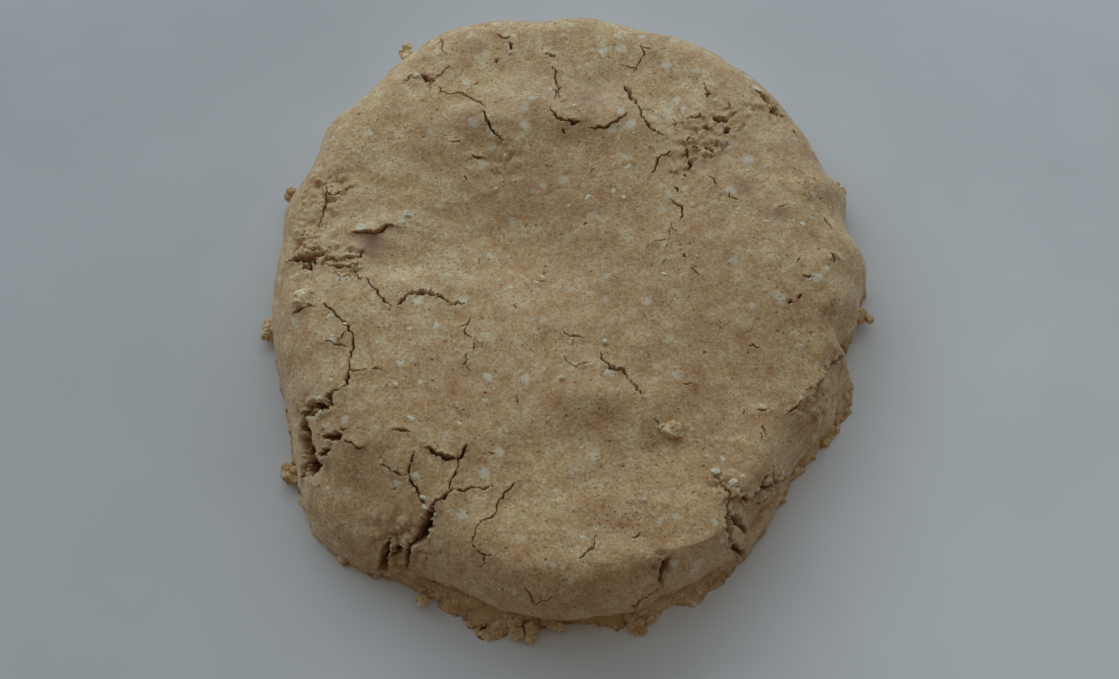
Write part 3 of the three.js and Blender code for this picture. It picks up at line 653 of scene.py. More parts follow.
def lobe_sum(lobes, degrees):
    """Sum of smooth bumps at plan angles."""
    total = np.zeros_like(degrees, float)
    for lobe in lobes:
        apart = (degrees - lobe.at + 180.0) % 360.0 - 180.0
        total += lobe.out * np.exp(-((apart / lobe.over) ** 2))
    return total


def raggedness(degrees):
    """Fine wander of the foot's edge."""
    turn = np.radians(degrees)
    return sum(size * np.sin(waves * turn + start) for waves, start, size in RAGGED_WAVES)


def wall_radius(shape, degrees):
    across = np.abs(np.cos(np.radians(degrees))) / (shape.width / MM / 2)
    along = np.abs(np.sin(np.radians(degrees))) / (shape.length / MM / 2)
    power = shape.outline_power
    return (across ** power + along ** power) ** (-1 / power) + lobe_sum(OUTLINE_LOBES, degrees)


def shoulder_run(shape, degrees):
    return shape.shoulder_run / MM + lobe_sum(SHOULDER_LOBES, degrees)


def shoulder_power(shape, degrees):
    return shape.shoulder_power + lobe_sum(CRISP_LOBES, degrees)


def relief_at(x, y):
    """Height that hands left above or below the plain slab."""
    total = np.zeros_like(x)
    for press in PRESSES:
        turn = math.radians(press.turn)
        dx = x - press.x
        dy = y - press.y
        u = (dx * math.cos(turn) + dy * math.sin(turn)) / press.along
        v = (dy * math.cos(turn) - dx * math.sin(turn)) / press.across
        total += press.rise * np.exp(-(u * u + v * v))
    return total


def undercut_at(degrees, z):
    """How far the grooves under the lip go in."""
    total = np.zeros_like(z)
    for cut in UNDERCUTS:
        share = np.clip((degrees % 360.0 - cut.first) / (cut.last - cut.first), 0.0, 1.0)
        height = cut.height + UNDERCUT_WANDER * raggedness(2 * degrees)
        groove = np.exp(-(((z - height) / cut.half) ** 2))
        total += cut.depth * np.sin(np.pi * share) ** UNDERCUT_TAPER * groove
    return total


def surface_points(shape, degrees, reach):
    """Points of the smooth surface. reach is 0 at the middle, 1 at the flat top's rim and 2 at the foot."""
    degrees = np.asarray(degrees, float)
    reach = np.asarray(reach, float)
    wall = wall_radius(shape, degrees)
    run = shoulder_run(shape, degrees)
    bend = 2 / shoulder_power(shape, degrees)
    fall = np.clip(reach - 1, 0, 1) * np.pi / 2
    radius = np.minimum(reach, 1) * (wall - run) + run * np.sin(fall) ** bend
    profile = np.clip(np.cos(fall), 0, 1) ** bend
    cosine = np.cos(np.radians(degrees))
    sine = np.sin(np.radians(degrees))
    z = profile * (shape.thickness / MM + relief_at(radius * cosine, radius * sine))
    spread = np.clip(1 - z / (shape.foot_height / MM), 0, 1) ** 2
    ragged = (shape.foot_ragged / MM + lobe_sum(RAGGED_LOBES, degrees)) * raggedness(degrees)
    flare = spread * (lobe_sum(FOOT_LOBES, degrees) + ragged)
    radius = radius + flare - np.where(reach > 1, undercut_at(degrees, z), 0)
    return np.stack([radius * cosine, radius * sine, z], -1)


def reach_at(shape, x, y):
    """The reach of the surface point over a plan point."""
    degrees = np.degrees(np.arctan2(y, x))
    run = shoulder_run(shape, degrees)
    rim = wall_radius(shape, degrees) - run
    radius = np.hypot(x, y)
    beyond = np.clip((radius - rim) / run, 0, 1)
    fall = np.arcsin(beyond ** (shoulder_power(shape, degrees) / 2))
    return np.where(beyond > 0, 1 + fall * 2 / np.pi, radius / rim)


def reach_at_height(shape, degrees, height):
    share = height / (shape.thickness / MM)
    return 1 + np.arccos(share ** (shoulder_power(shape, degrees) / 2)) * 2 / np.pi


def surface_at(shape, x, y):
    x = np.asarray(x, float)
    y = np.asarray(y, float)
    return surface_points(shape, np.degrees(np.arctan2(y, x)), reach_at(shape, x, y))


def zone_strength(zones, x, y):
    """Strength, from 0 to 1, of overlapping round zones at plan points."""
    total = np.zeros_like(x)
    for zone in zones:
        total += zone.strength * np.exp(-(((x - zone.x) ** 2 + (y - zone.y) ** 2) / zone.reach ** 2))
    return np.clip(total, 0, 1)


def crumbly_strength(places):
    """How broken the surface is, from 0 to 1."""
    x, y, z = places.T
    foot = FOOT_BREAKAGE * np.clip(1 - z / CRUMBLY_FOOT, 0, 1)
    return np.maximum(zone_strength(CRUMBLY_ZONES, x, y), foot)


def stitch_rings(inner, outer):
    """Triangles between two closed rings of point numbers."""
    triangles = []
    i = 0
    o = 0
    while i < len(inner) or o < len(outer):
        inner_now = inner[i % len(inner)]
        outer_now = outer[o % len(outer)]
        inner_first = i < len(inner) and (i + 1) / len(inner) <= (o + 1) / len(outer)
        if o >= len(outer) or inner_first:
            triangles.append((inner_now, outer_now, inner[(i + 1) % len(inner)]))
            i += 1
        else:
            triangles.append((inner_now, outer_now, outer[(o + 1) % len(outer)]))
            o += 1
    return triangles


def slab_mesh(shape):
    """The pressed slab without its cracks, in rings from the middle of the top to the foot and underside."""
    rim_points = FIRST_RING_POINTS * TOP_RINGS
    counts = [FIRST_RING_POINTS * ring for ring in range(1, TOP_RINGS + 1)] + [rim_points] * WALL_ROWS
    reaches = [ring / TOP_RINGS for ring in range(1, TOP_RINGS + 1)]
    reaches += [2 - (1 - row / WALL_ROWS) ** WALL_CROWDING for row in range(1, WALL_ROWS + 1)]
    blocks = [surface_points(shape, np.zeros(1), np.zeros(1))]
    rings = []
    start = 1
    for count, reach in zip(counts, reaches):
        blocks.append(surface_points(shape, np.arange(count) * 360.0 / count, np.full(count, reach)))
        rings.append(range(start, start + count))
        start += count
    triangles = [(0, p, rings[0][(k + 1) % len(rings[0])]) for k, p in enumerate(rings[0])]
    for inner, outer in zip(rings, rings[1:]):
        triangles += stitch_rings(inner, outer)
    foot = rings[-1]
    underside = range(start, start + len(foot))
    blocks.append(blocks[-1] * UNDERSIDE_RIM)
    triangles += stitch_rings(foot, underside)
    middle = start + len(foot)
    blocks.append(np.zeros((1, 3)))
    triangles += [(middle, underside[(k + 1) % len(underside)], p) for k, p in enumerate(underside)]
    return new_mesh("dough_slab", np.concatenate(blocks), triangles)


def new_mesh(name, places, faces=()):
    """A mesh of places in millimetres."""
    mesh = bpy.data.meshes.new(name)
    mesh.from_pydata((np.asarray(places) * MM).tolist(), [], faces)
    return mesh


def new_object(name, data):
    made = bpy.data.objects.new(name, data)
    bpy.context.scene.collection.objects.link(made)
    return made


def add_attribute(mesh, name, values):
    attribute = mesh.attributes.new(name, "FLOAT", "POINT")
    attribute.data.foreach_set("value", np.asarray(values, np.float32))


def read_points(mesh):
    flat = np.zeros(len(mesh.vertices) * 3, np.float32)
    mesh.vertices.foreach_get("co", flat)
    return flat.reshape(-1, 3).astype(float) / MM


# Cracks

def hairlines(draw):
    """Short fine cracks all over the top."""
    lines = []
    while len(lines) < HAIRLINES:
        angle = draw.uniform(0, 2 * math.pi)
        radius = HAIRLINE_REACH * math.sqrt(draw.random())
        x = radius * math.cos(angle)
        y = radius * math.sin(angle)
        turn = draw.uniform(0, math.pi)
        length = draw.uniform(*HAIRLINE_LENGTH)
        end = (x + length * math.cos(turn), y + length * math.sin(turn))
        lines.append(Crack(LEAST_CRACK, draw.uniform(*HAIRLINE_DEPTH), 0, ((x, y), end)))
    return lines


def branches(crack, draw):
    """Small cracks that leave a longer one sideways."""
    made = []
    for (x0, y0), (x1, y1) in zip(crack.path, crack.path[1:]):
        if math.hypot(x1 - x0, y1 - y0) < BRANCH_GAP:
            continue
        share = draw.uniform(*BRANCH_PLACE)
        turn = math.atan2(y1 - y0, x1 - x0) + draw.choice((-1, 1)) * draw.uniform(*BRANCH_TURN)
        length = draw.uniform(*BRANCH_LENGTH)
        start = (x0 + (x1 - x0) * share, y0 + (y1 - y0) * share)
        end = (start[0] + length * math.cos(turn), start[1] + length * math.sin(turn))
        made.append(Crack(BRANCH_WIDTH * crack.width, BRANCH_DEPTH * crack.depth, 0, (start, end)))
    return made


def crack_knots(path, draw):
    """The path's bends with smaller bends put between them."""
    knots = [path[0]]
    for (x0, y0), (x1, y1) in zip(path, path[1:]):
        length = math.hypot(x1 - x0, y1 - y0)
        steps = max(1, round(length / CRACK_KNOT_GAP))
        for step in range(1, steps + 1):
            share = step / steps
            aside = draw.uniform(-CRACK_WANDER, CRACK_WANDER) if step < steps else 0.0
            knots.append((
                x0 + (x1 - x0) * share - (y1 - y0) / length * aside,
                y0 + (y1 - y0) * share + (x1 - x0) / length * aside,
            ))
    return np.array(knots)


def crack_guide(shape):
    """A mesh of points along every crack, with its half width, depth, lift and direction at each point."""
    draw = random.Random(RANDOM_SEED)
    places = []
    halves = []
    depths = []
    lifts = []
    aheads = []
    cracks = list(CRACKS)
    for crack in CRACKS:
        cracks += branches(crack, draw)
    cracks += hairlines(draw)
    for crack in cracks:
        knots = crack_knots(crack.path, draw)
        lengths = np.concatenate([[0], np.cumsum(np.hypot(*np.diff(knots, axis=0).T))])
        count = max(3, int(lengths[-1] / CRACK_POINT_GAP))
        along = np.linspace(0, lengths[-1], count)
        x = np.interp(along, lengths, knots[:, 0])
        y = np.interp(along, lengths, knots[:, 1])
        place = surface_at(shape, x, y)
        widths = np.array([draw.uniform(*CRACK_WIDTHS) for _ in knots])
        lift = crack.lift + draw.uniform(-LIFT_SPREAD, LIFT_SPREAD) * min(1.0, crack.width)
        share = along / lengths[-1] * (1 - 2 * CRACK_TIP) + CRACK_TIP
        taper = np.sin(np.pi * share) ** CRACK_TAPER
        places.append(place)
        halves.append(max(crack.width, LEAST_CRACK) / 2 * taper * np.interp(along, lengths, widths))
        depths.append(crack.depth * taper)
        lifts.append(lift * taper)
        aheads.append(np.gradient(place, axis=0))
    mesh = new_mesh("crack_guide", np.concatenate(places))
    for name, values in (("half_width", halves), ("depth", depths), ("lift", lifts)):
        add_attribute(mesh, name, np.concatenate(values) * MM)
    ahead = mesh.attributes.new("ahead", "FLOAT_VECTOR", "POINT")
    ahead.data.foreach_set("vector", np.concatenate(aheads).astype(np.float32).ravel())
    return mesh


def wanted_edges(places, tree, halves):
    """The edge length that the relief needs at each place."""
    wanted = COARSE_EDGE - (COARSE_EDGE - CRUMB_EDGE) * crumbly_strength(places)
    for number, place in enumerate(places):
        _, nearest, distance = tree.find(place)
        half = halves[nearest]
        beside = max(CRACK_EDGE, CRACK_EDGE_SHARE * half) + EDGE_GROWTH * max(0.0, distance - half)
        wanted[number] = min(wanted[number], beside)
    wanted[places[:, 2] < UNDERSIDE_TOP] = math.inf
    return wanted


def refine_for_relief(mesh, guide):
    """Splits the edges that are too long for the cracks and crumbs there."""
    places = read_points(guide)
    halves = np.zeros(len(places), np.float32)
    guide.attributes["half_width"].data.foreach_get("value", halves)
    tree = KDTree(len(places))
    for number, place in enumerate(places):
        tree.insert(place, number)
    tree.balance()
    shell = bmesh.new()
    shell.from_mesh(mesh)
    for _ in range(REFINE_PASSES):
        edges = list(shell.edges)
        ends = np.array([(*edge.verts[0].co, *edge.verts[1].co) for edge in edges]) / MM
        lengths = np.linalg.norm(ends[:, 3:] - ends[:, :3], axis=1)
        wanted = wanted_edges((ends[:, :3] + ends[:, 3:]) / 2, tree, halves / MM)
        chosen = [edge for edge, split in zip(edges, lengths > EDGE_SLACK * wanted) if split]
        bmesh.ops.subdivide_edges(shell, edges=chosen, cuts=1)
        bmesh.ops.triangulate(shell, faces=[face for face in shell.faces if len(face.verts) > 3])
    shell.to_mesh(mesh)
    shell.free()


def mark_surface(mesh):
    """Attributes that steer the relief, the crumbs and the colours."""
    places = read_points(mesh)
    x, y, z = places.T
    spread = lobe_sum(FOOT_LOBES, np.degrees(np.arctan2(y, x)))
    cover = np.clip(FOOT_COVER + FOOT_COVER_GAIN * spread, 0, 1)
    foot = cover * np.clip(1 - z / CRUMBLY_FOOT, 0, 1)
    add_attribute(mesh, "foot", foot * (z > UNDERSIDE_TOP))
    add_attribute(mesh, "crumbly", crumbly_strength(places))
    # Stains, and the broad patch that is partly painted shade
    add_attribute(mesh, "stain_and_painted_shade", zone_strength(STAINS_AND_PAINTED_SHADE, x, y) * (z > LOWEST_STAIN_AND_PAINTED_SHADE))
    # Paler, cooler places: partly drier dough, partly painted light on the far, left and right sides
    add_attribute(mesh, "dry_and_painted_light", zone_strength(DRY_AND_PAINTED_LIGHT_ZONES, x, y))


# Node trees

class Tree:
    """Adds nodes to a node tree and joins them up as they are made."""

    def __init__(self, tree):
        self.tree = tree

    def add(self, kind, inputs=None, **settings):
        made = self.tree.nodes.new(kind)
        for name, value in settings.items():
            setattr(made, name, value)
        for name, value in (inputs or {}).items():
            self.put(made.inputs[name], value)
        return made

    def put(self, socket, value):
        if isinstance(value, bpy.types.NodeSocket):
            self.tree.links.new(value, socket)
        else:
            socket.default_value = value

    def math(self, operation, first, second=0.0, clamp=False):
        inputs = {0: first, 1: second}
        return self.add("ShaderNodeMath", inputs, operation=operation, use_clamp=clamp).outputs[0]

    def times(self, first, *others):
        for other in others:
            first = self.math("MULTIPLY", first, other)
        return first

    def plus(self, first, *others):
        for other in others:
            first = self.math("ADD", first, other)
        return first

    def most(self, first, *others):
        for other in others:
            first = self.math("MAXIMUM", first, other)
        return first

    def vector(self, operation, first, second=(0.0, 0.0, 0.0)):
        made = self.add("ShaderNodeVectorMath", {0: first}, operation=operation)
        self.put(made.inputs["Scale"] if operation == "SCALE" else made.inputs[1], second)
        return made.outputs["Value" if operation in ("LENGTH", "DOT_PRODUCT") else "Vector"]

    def parts(self, vector):
        return self.add("ShaderNodeSeparateXYZ", {0: vector}).outputs

    def join(self, x, y, z):
        return self.add("ShaderNodeCombineXYZ", {0: x, 1: y, 2: z}).outputs[0]

    def ramp(self, value, low, high, first=0.0, last=1.0, smooth=True):
        """Maps low..high to first..last, and holds the ends."""
        kind = "SMOOTHSTEP" if smooth else "LINEAR"
        inputs = {"Value": value, "From Min": low, "From Max": high, "To Min": first, "To Max": last}
        return self.add("ShaderNodeMapRange", inputs, interpolation_type=kind).outputs["Result"]

    def noise(self, place, scale, detail=2.0, roughness=0.5):
        """Noise from 0 to 1, around a half."""
        inputs = {"Vector": place, "Scale": scale, "Detail": detail, "Roughness": roughness}
        return self.add("ShaderNodeTexNoise", inputs).outputs[0]

    def noise_colour(self, place, scale, detail):
        inputs = {"Vector": place, "Scale": scale, "Detail": detail}
        return self.add("ShaderNodeTexNoise", inputs).outputs["Color"]

    def centred(self, colour, reach):
        """A drawn colour as a shift to either side, over the reach."""
        return self.vector("SCALE", self.vector("SUBTRACT", colour, HALVES), reach)

    def cells(self, place, scale, feature="F1"):
        """Cells round scattered points: distance, and a colour and a point for each cell."""
        inputs = {"Vector": place, "Scale": scale}
        return self.add("ShaderNodeTexVoronoi", inputs, feature=feature).outputs

    def cell_gap(self, place, scale):
        """Distance to the border between two cells."""
        return self.cells(place, scale, "DISTANCE_TO_EDGE")["Distance"]

    def mix(self, share, first, second, blend="MIX"):
        made = self.add("ShaderNodeMix", data_type="RGBA", blend_type=blend)
        self.put(made.inputs[0], share)
        self.put(made.inputs[6], first)
        self.put(made.inputs[7], second)
        return made.outputs[2]

    def place(self):
        return self.add("GeometryNodeInputPosition").outputs[0]

    def normal(self):
        return self.add("GeometryNodeInputNormal").outputs[0]

    def named(self, name, kind="FLOAT"):
        made = self.add("GeometryNodeInputNamedAttribute", {"Name": name}, data_type=kind)
        return made.outputs["Attribute"]

    def drawn(self, seed, low=0.0, high=1.0):
        inputs = {"Min": low, "Max": high, "Seed": seed}
        return self.add("FunctionNodeRandomValue", inputs, data_type="FLOAT").outputs[1]

    def geometry(self, kind, geometry, **inputs):
        """A node that takes geometry and gives it back changed."""
        return self.add(kind, {"Geometry": geometry, **inputs}).outputs[0]

    def move(self, geometry, **inputs):
        return self.geometry("GeometryNodeSetPosition", geometry, **inputs)

    def keep_above_floor(self, geometry):
        return self.move(geometry, Position=self.vector("MAXIMUM", self.place(), LOWEST_PLACE))


def new_geometry_tree(name, sockets):
    """A geometry tree with named inputs, each given as its name and kind of socket."""
    group = bpy.data.node_groups.new(name, "GeometryNodeTree")
    group.interface.new_socket(name="Geometry", in_out="INPUT", socket_type="NodeSocketGeometry")
    for label, kind in sockets.items():
        group.interface.new_socket(name=label, in_out="INPUT", socket_type="NodeSocket" + kind)
    group.interface.new_socket(name="Geometry", in_out="OUTPUT", socket_type="NodeSocketGeometry")
    maker = Tree(group)
    return maker, maker.add("NodeGroupInput").outputs


def end_tree(maker, geometry, material, smooth=True):
    """Every tree ends in real mesh with its material."""
    shaded = maker.geometry("GeometryNodeSetShadeSmooth", geometry, **{"Shade Smooth": smooth})
    real = maker.geometry("GeometryNodeRealizeInstances", shaded)
    shown = maker.geometry("GeometryNodeSetMaterial", real, Material=material)
    maker.add("NodeGroupOutput", {"Geometry": shown})
    return maker.tree


def grown_mesh(name, mesh, group, values):
    """Runs a geometry tree on a mesh and returns the result as an object with a plain mesh."""
    carrier = new_object(name, mesh)
    modifier = carrier.modifiers.new(name, "NODES")
    modifier.node_group = group
    for item in group.interface.items_tree:
        if item.in_out == "INPUT" and item.name in values:
            modifier[item.identifier] = values[item.name]
    carrier.update_tag()
    evaluated = carrier.evaluated_get(bpy.context.evaluated_depsgraph_get())
    result = bpy.data.meshes.new_from_object(evaluated)
    carrier.modifiers.clear()
    carrier.data = result
    result.name = name
    if not result.polygons:
        raise RuntimeError(f"{name} came out empty")
    return carrier


def plates(maker, place, scale):
    """Broken plates: a height and tilt for each cell, less the crevice between cells, and the crevice, which
    also masks painted shade.
    """
    cell = maker.cells(place, scale)
    height = maker.parts(cell["Color"])[2]
    aside = maker.vector("SCALE", maker.vector("SUBTRACT", place, cell["Position"]), scale)
    tilt = maker.vector("DOT_PRODUCT", aside, maker.centred(cell["Color"], PLATE_TILT))
    crevice = maker.ramp(maker.cell_gap(place, scale), 0.0, PLATE_GAP, 1.0, 0.0)
    step = maker.plus(maker.times(maker.math("SUBTRACT", height, 0.5), PLATE_STEP), tilt)
    return maker.math("SUBTRACT", step, maker.times(crevice, CREVICE_SHARE)), crevice


def carve_tree():
    """Cracks, flakes, soft lumps and crumbly relief on the smooth slab."""
    maker, given = new_geometry_tree("Carve Dough", {
        "Cracks": "Object",
        "Crack Raggedness": "Float",
        "Rim Lift": "Float",
        "Lump Height": "Float",
        "Lump Size": "Float",
        "Grain Height": "Float",
        "Grain Size": "Float",
        "Crumb Height": "Float",
        "Crumb Size": "Float",
        "Material": "Material",
    })
    place = maker.place()
    normal = maker.normal()
    guide = maker.add("GeometryNodeObjectInfo", {"Object": given["Cracks"]}).outputs["Geometry"]

    def closest(where):
        inputs = {"Geometry": guide, "Sample Position": where}
        return maker.add("GeometryNodeSampleNearest", inputs).outputs[0]

    def sampled(value, index, kind="FLOAT"):
        inputs = {"Geometry": guide, "Value": value, "Index": index}
        return maker.add("GeometryNodeSampleIndex", inputs, data_type=kind).outputs[0]

    def scale_of(name):
        return maker.math("DIVIDE", 1.0, given[name])

    def waves(height, size, detail, roughness):
        noise = maker.noise(place, scale_of(size), detail, roughness)
        return maker.times(maker.math("SUBTRACT", noise, 0.5), 2.0, given[height])

    soft = maker.noise_colour(place, SOFT_BENDS, 1.0)
    chunk = maker.cells(place, CRACK_CHUNKS)["Color"]
    widest = sampled(maker.named("half_width"), closest(place))
    ragged = maker.math("MINIMUM", maker.times(given["Crack Raggedness"], 2.0), widest)
    warped = maker.vector("ADD", place, maker.centred(chunk, ragged))
    warped = maker.vector("ADD", warped, maker.centred(soft, CRACK_BEND))
    nearest = closest(warped)

    half = sampled(maker.named("half_width"), nearest)
    away = maker.vector("SUBTRACT", warped, sampled(place, nearest, "FLOAT_VECTOR"))
    distance = maker.vector("LENGTH", away)
    share = maker.math("DIVIDE", distance, half)
    inside = maker.math("SUBTRACT", 1.0, maker.math("POWER", share, CRACK_PROFILE), clamp=True)
    cut = maker.times(inside, sampled(maker.named("depth"), nearest))
    beyond = maker.math("SUBTRACT", distance, half)
    rim = maker.times(maker.ramp(beyond, 0.0, RIM_REACH, 1.0, 0.0), given["Rim Lift"])
    ahead = sampled(maker.named("ahead", "FLOAT_VECTOR"), nearest, "FLOAT_VECTOR")
    turned = maker.vector("CROSS_PRODUCT", ahead, away)
    left = maker.math("GREATER_THAN", maker.vector("DOT_PRODUCT", turned, normal), 0.0)
    fade = maker.ramp(distance, 0.0, LIFT_REACH, 1.0, 0.0)
    lift = maker.times(left, fade, sampled(maker.named("lift"), nearest))

    lumps = waves("Lump Height", "Lump Size", 1.0, 0.5)
    grain = waves("Grain Height", "Grain Size", 3.0, 0.6)
    crack_rim = maker.ramp(beyond, 0.0, CRUMBLE_REACH, CRUMBLE_SHARE, 0.0)
    crack_rim = maker.times(crack_rim, maker.ramp(half, *CRUMBLE_HALF_WIDTHS))
    patches = maker.ramp(maker.noise(place, ROUGH_PATCHES), 0.52, 0.72, 0.0, ROUGH_PATCH_SHARE)
    crumbly = maker.named("crumbly")
    broken = maker.most(crumbly, crack_rim, patches)
    bent = maker.vector("ADD", place, maker.centred(soft, CRUMB_BEND))
    crumb_scale = scale_of("Crumb Size")
    coarse_crumb, coarse_gap = plates(maker, bent, crumb_scale)
    fine_crumb, fine_gap = plates(maker, bent, maker.times(crumb_scale, FINER_CRUMBS))
    crumb = maker.plus(coarse_crumb, maker.times(fine_crumb, FINE_CRUMB_SHARE))
    crumb = maker.times(crumb, broken, given["Crumb Height"])
    # Crevices between broken plates, which the material darkens with painted shade
    crevice = maker.times(maker.most(coarse_gap, maker.times(fine_gap, CREVICE_SHARE)), broken)

    relief = maker.plus(rim, lift, lumps, grain, crumb)
    off_underside = maker.ramp(maker.parts(normal)[2], *UNDERSIDE_FACING)
    rise = maker.times(maker.math("SUBTRACT", relief, cut), off_underside)

    rim_mark = maker.ramp(beyond, *RIM_MARK_REACH, 1.0, 0.0)
    rim_mark = maker.times(rim_mark, maker.ramp(half, *RIM_MARK_HALF_WIDTHS))
    loose = maker.most(rim_mark, maker.times(crumbly, LOOSE_SHARE))
    marks = {"crack": inside, "rim": rim_mark, "loose": loose, "broken": broken, "crevice": crevice}
    geometry = given["Geometry"]
    for name, value in marks.items():
        inputs = {"Geometry": geometry, "Name": name, "Value": value}
        geometry = maker.add("GeometryNodeStoreNamedAttribute", inputs, data_type="FLOAT").outputs[0]
    moved = maker.vector("ADD", place, maker.vector("SCALE", normal, rise))
    carved = maker.move(geometry, Position=maker.vector("MAXIMUM", moved, LOWEST_PLACE))
    return end_tree(maker, carved, given["Material"])


def scatter_tree():
    """Irregular bits scattered over a surface where one of its attributes is high."""
    maker, given = new_geometry_tree("Scatter Bits", {
        "Mask": "String",
        "Bits Per Area": "Float",
        "Smallest": "Float",
        "Largest": "Float",
        "Flatten": "Float",
        "Sink": "Float",
        "Unevenness": "Float",
        "Detail": "Int",
        "Seed": "Int",
        "Material": "Material",
    })
    seed = given["Seed"]
    density = maker.times(maker.named(given["Mask"]), given["Bits Per Area"])
    spread = maker.add("GeometryNodeDistributePointsOnFaces", {
        "Mesh": given["Geometry"], "Density": density, "Seed": seed}).outputs
    span = maker.math("SUBTRACT", given["Largest"], given["Smallest"])
    share = maker.math("POWER", maker.drawn(seed), SMALL_BITS)
    size = maker.plus(given["Smallest"], maker.times(span, share))
    inward = maker.vector("SCALE", spread["Normal"], maker.times(size, given["Sink"], -1.0))
    sunk = maker.move(spread["Points"], Offset=inward)
    bit = maker.add("GeometryNodeMeshIcoSphere", {"Radius": 1.0, "Subdivisions": given["Detail"]})
    stretch = maker.add("FunctionNodeRandomValue", {
        "Min": LEAST_STRETCH, "Max": MOST_STRETCH, "Seed": seed}, data_type="FLOAT_VECTOR").outputs[0]
    flat = maker.join(1.0, 1.0, given["Flatten"])
    spin = maker.add("FunctionNodeAxisAngleToRotation", {
        "Axis": (0.0, 0.0, 1.0), "Angle": maker.drawn(seed, 0.0, math.tau)}).outputs[0]
    turn = maker.add("FunctionNodeRotateRotation", {
        "Rotation": spread["Rotation"], "Rotate By": spin}, rotation_space="LOCAL").outputs[0]
    placed = maker.add("GeometryNodeInstanceOnPoints", {
        "Points": sunk,
        "Instance": bit.outputs["Mesh"],
        "Rotation": turn,
        "Scale": maker.vector("SCALE", maker.vector("MULTIPLY", stretch, flat), size),
    })
    real = maker.geometry("GeometryNodeRealizeInstances", placed.outputs["Instances"])
    jitter = maker.centred(maker.noise_colour(maker.place(), BIT_BENDS, 2.0), given["Unevenness"])
    rested = maker.keep_above_floor(maker.move(real, Offset=jitter))
    return end_tree(maker, rested, given["Material"], smooth=False)


def lump_tree():
    """Uneven pinches of dough, one on each guide point."""
    maker, given = new_geometry_tree("Dough Lumps", {"Unevenness": "Float", "Material": "Material"})
    ball = maker.add("GeometryNodeMeshIcoSphere", {"Radius": 1.0, "Subdivisions": 4}).outputs["Mesh"]
    radius = maker.named("radius")
    scale = maker.join(radius, radius, maker.times(radius, maker.named("flatten")))
    placed = maker.add("GeometryNodeInstanceOnPoints", {
        "Points": given["Geometry"], "Instance": ball, "Scale": scale}).outputs["Instances"]
    real = maker.geometry("GeometryNodeRealizeInstances", placed)
    place = maker.place()
    shift = maker.centred(maker.noise_colour(place, SOFT_BENDS, 1.0), given["Unevenness"])
    bent = maker.move(real, Offset=shift)
    noise = maker.noise(place, CRUMBLE_BENDS, 4.0, 0.65)
    crumble = maker.times(maker.math("SUBTRACT", noise, 0.5), LUMP_CRUMBLE)
    rough = maker.move(bent, Offset=maker.vector("SCALE", maker.normal(), crumble))
    return end_tree(maker, maker.keep_above_floor(rough), given["Material"])


# Materials

def dough_grain_group():
    """Shader group: mottled dough with pale almond flecks and fine dark specks."""
    group = bpy.data.node_groups.new("Dough Grain", "ShaderNodeTree")
    sockets = {
        "Vector": "Vector", "Dough": "Color", "Warm": "Color", "Pale": "Color", "Speck": "Color",
        "Fleck Share": "Float",
    }
    for name, kind in sockets.items():
        group.interface.new_socket(name=name, in_out="INPUT", socket_type="NodeSocket" + kind)
    for name, kind in {"Colour": "Color", "Roughness": "Float", "Height": "Float"}.items():
        group.interface.new_socket(name=name, in_out="OUTPUT", socket_type="NodeSocket" + kind)
    maker = Tree(group)
    given = maker.add("NodeGroupInput").outputs
    place = given["Vector"]

    def spots(where, kind, share=None):
        """Soft spots, one in some of the cells, each with its own radius and strength."""
        cell = maker.cells(where, kind.scale)
        drawn = maker.add("ShaderNodeSeparateColor", {0: cell["Color"]}).outputs
        here = maker.math("LESS_THAN", drawn[0], kind.share if share is None else share)
        edge = maker.ramp(drawn[1], 0.0, 1.0, *kind.radius, smooth=False)
        inside = maker.math("SUBTRACT", 1.0, maker.math("DIVIDE", cell["Distance"], edge), clamp=True)
        spot = maker.math("MULTIPLY", maker.times(here, inside), SPOT_EDGE, clamp=True)
        return maker.times(spot, maker.ramp(drawn[2], 0.0, 1.0, *kind.strength, smooth=False))

    patches = maker.ramp(maker.noise(place, 55.0, 3.0, 0.55), 0.42, 0.72, 0.0, 0.75)
    colour = maker.mix(patches, given["Dough"], given["Warm"])
    shades = []
    for mottle in MOTTLES:
        noise = maker.noise(place, mottle.scale, mottle.detail, mottle.roughness)
        shades.append(maker.ramp(noise, 0.3, 0.7, mottle.dark, mottle.light, smooth=False))
    shade = maker.times(*shades)
    channels = {number: maker.math("POWER", shade, power) for number, power in enumerate(SHADE_POWERS)}
    tone = maker.add("ShaderNodeCombineColor", channels).outputs[0]
    colour = maker.mix(1.0, colour, tone, "MULTIPLY")

    bend = maker.noise_colour(place, 650.0, 2.0)
    bent = maker.vector("ADD", place, maker.vector("SCALE", bend, FLECK_BEND))
    fleck = maker.most(spots(bent, LARGE_FLECKS, given["Fleck Share"]), spots(bent, SMALL_FLECKS))
    colour = maker.mix(fleck, colour, given["Pale"])
    colour = maker.mix(spots(bent, WARM_SPOTS), colour, given["Warm"])
    speck = maker.most(spots(place, FINE_SPECKS), spots(place, DARK_SPECKS))
    colour = maker.mix(speck, colour, given["Speck"])
    wander = maker.noise_colour(place, 220.0, 3.0)
    seam_place = maker.vector("ADD", place, maker.vector("SCALE", wander, SEAM_BEND))
    seam = maker.ramp(maker.cell_gap(seam_place, 110.0), 0.0, 0.03, 1.0, 0.0)
    seam = maker.times(seam, maker.ramp(maker.noise(place, 85.0, 2.0), 0.54, 0.64, 0.0, 0.6))
    colour = maker.mix(seam, colour, given["Speck"])

    roughness = maker.ramp(maker.noise(place, 420.0, 2.0), 0.3, 0.7, 0.72, 0.9, smooth=False)
    height = maker.noise(place, 700.0, 4.0, 0.7)
    maker.add("NodeGroupOutput", {"Colour": colour, "Roughness": roughness, "Height": height})
    return group


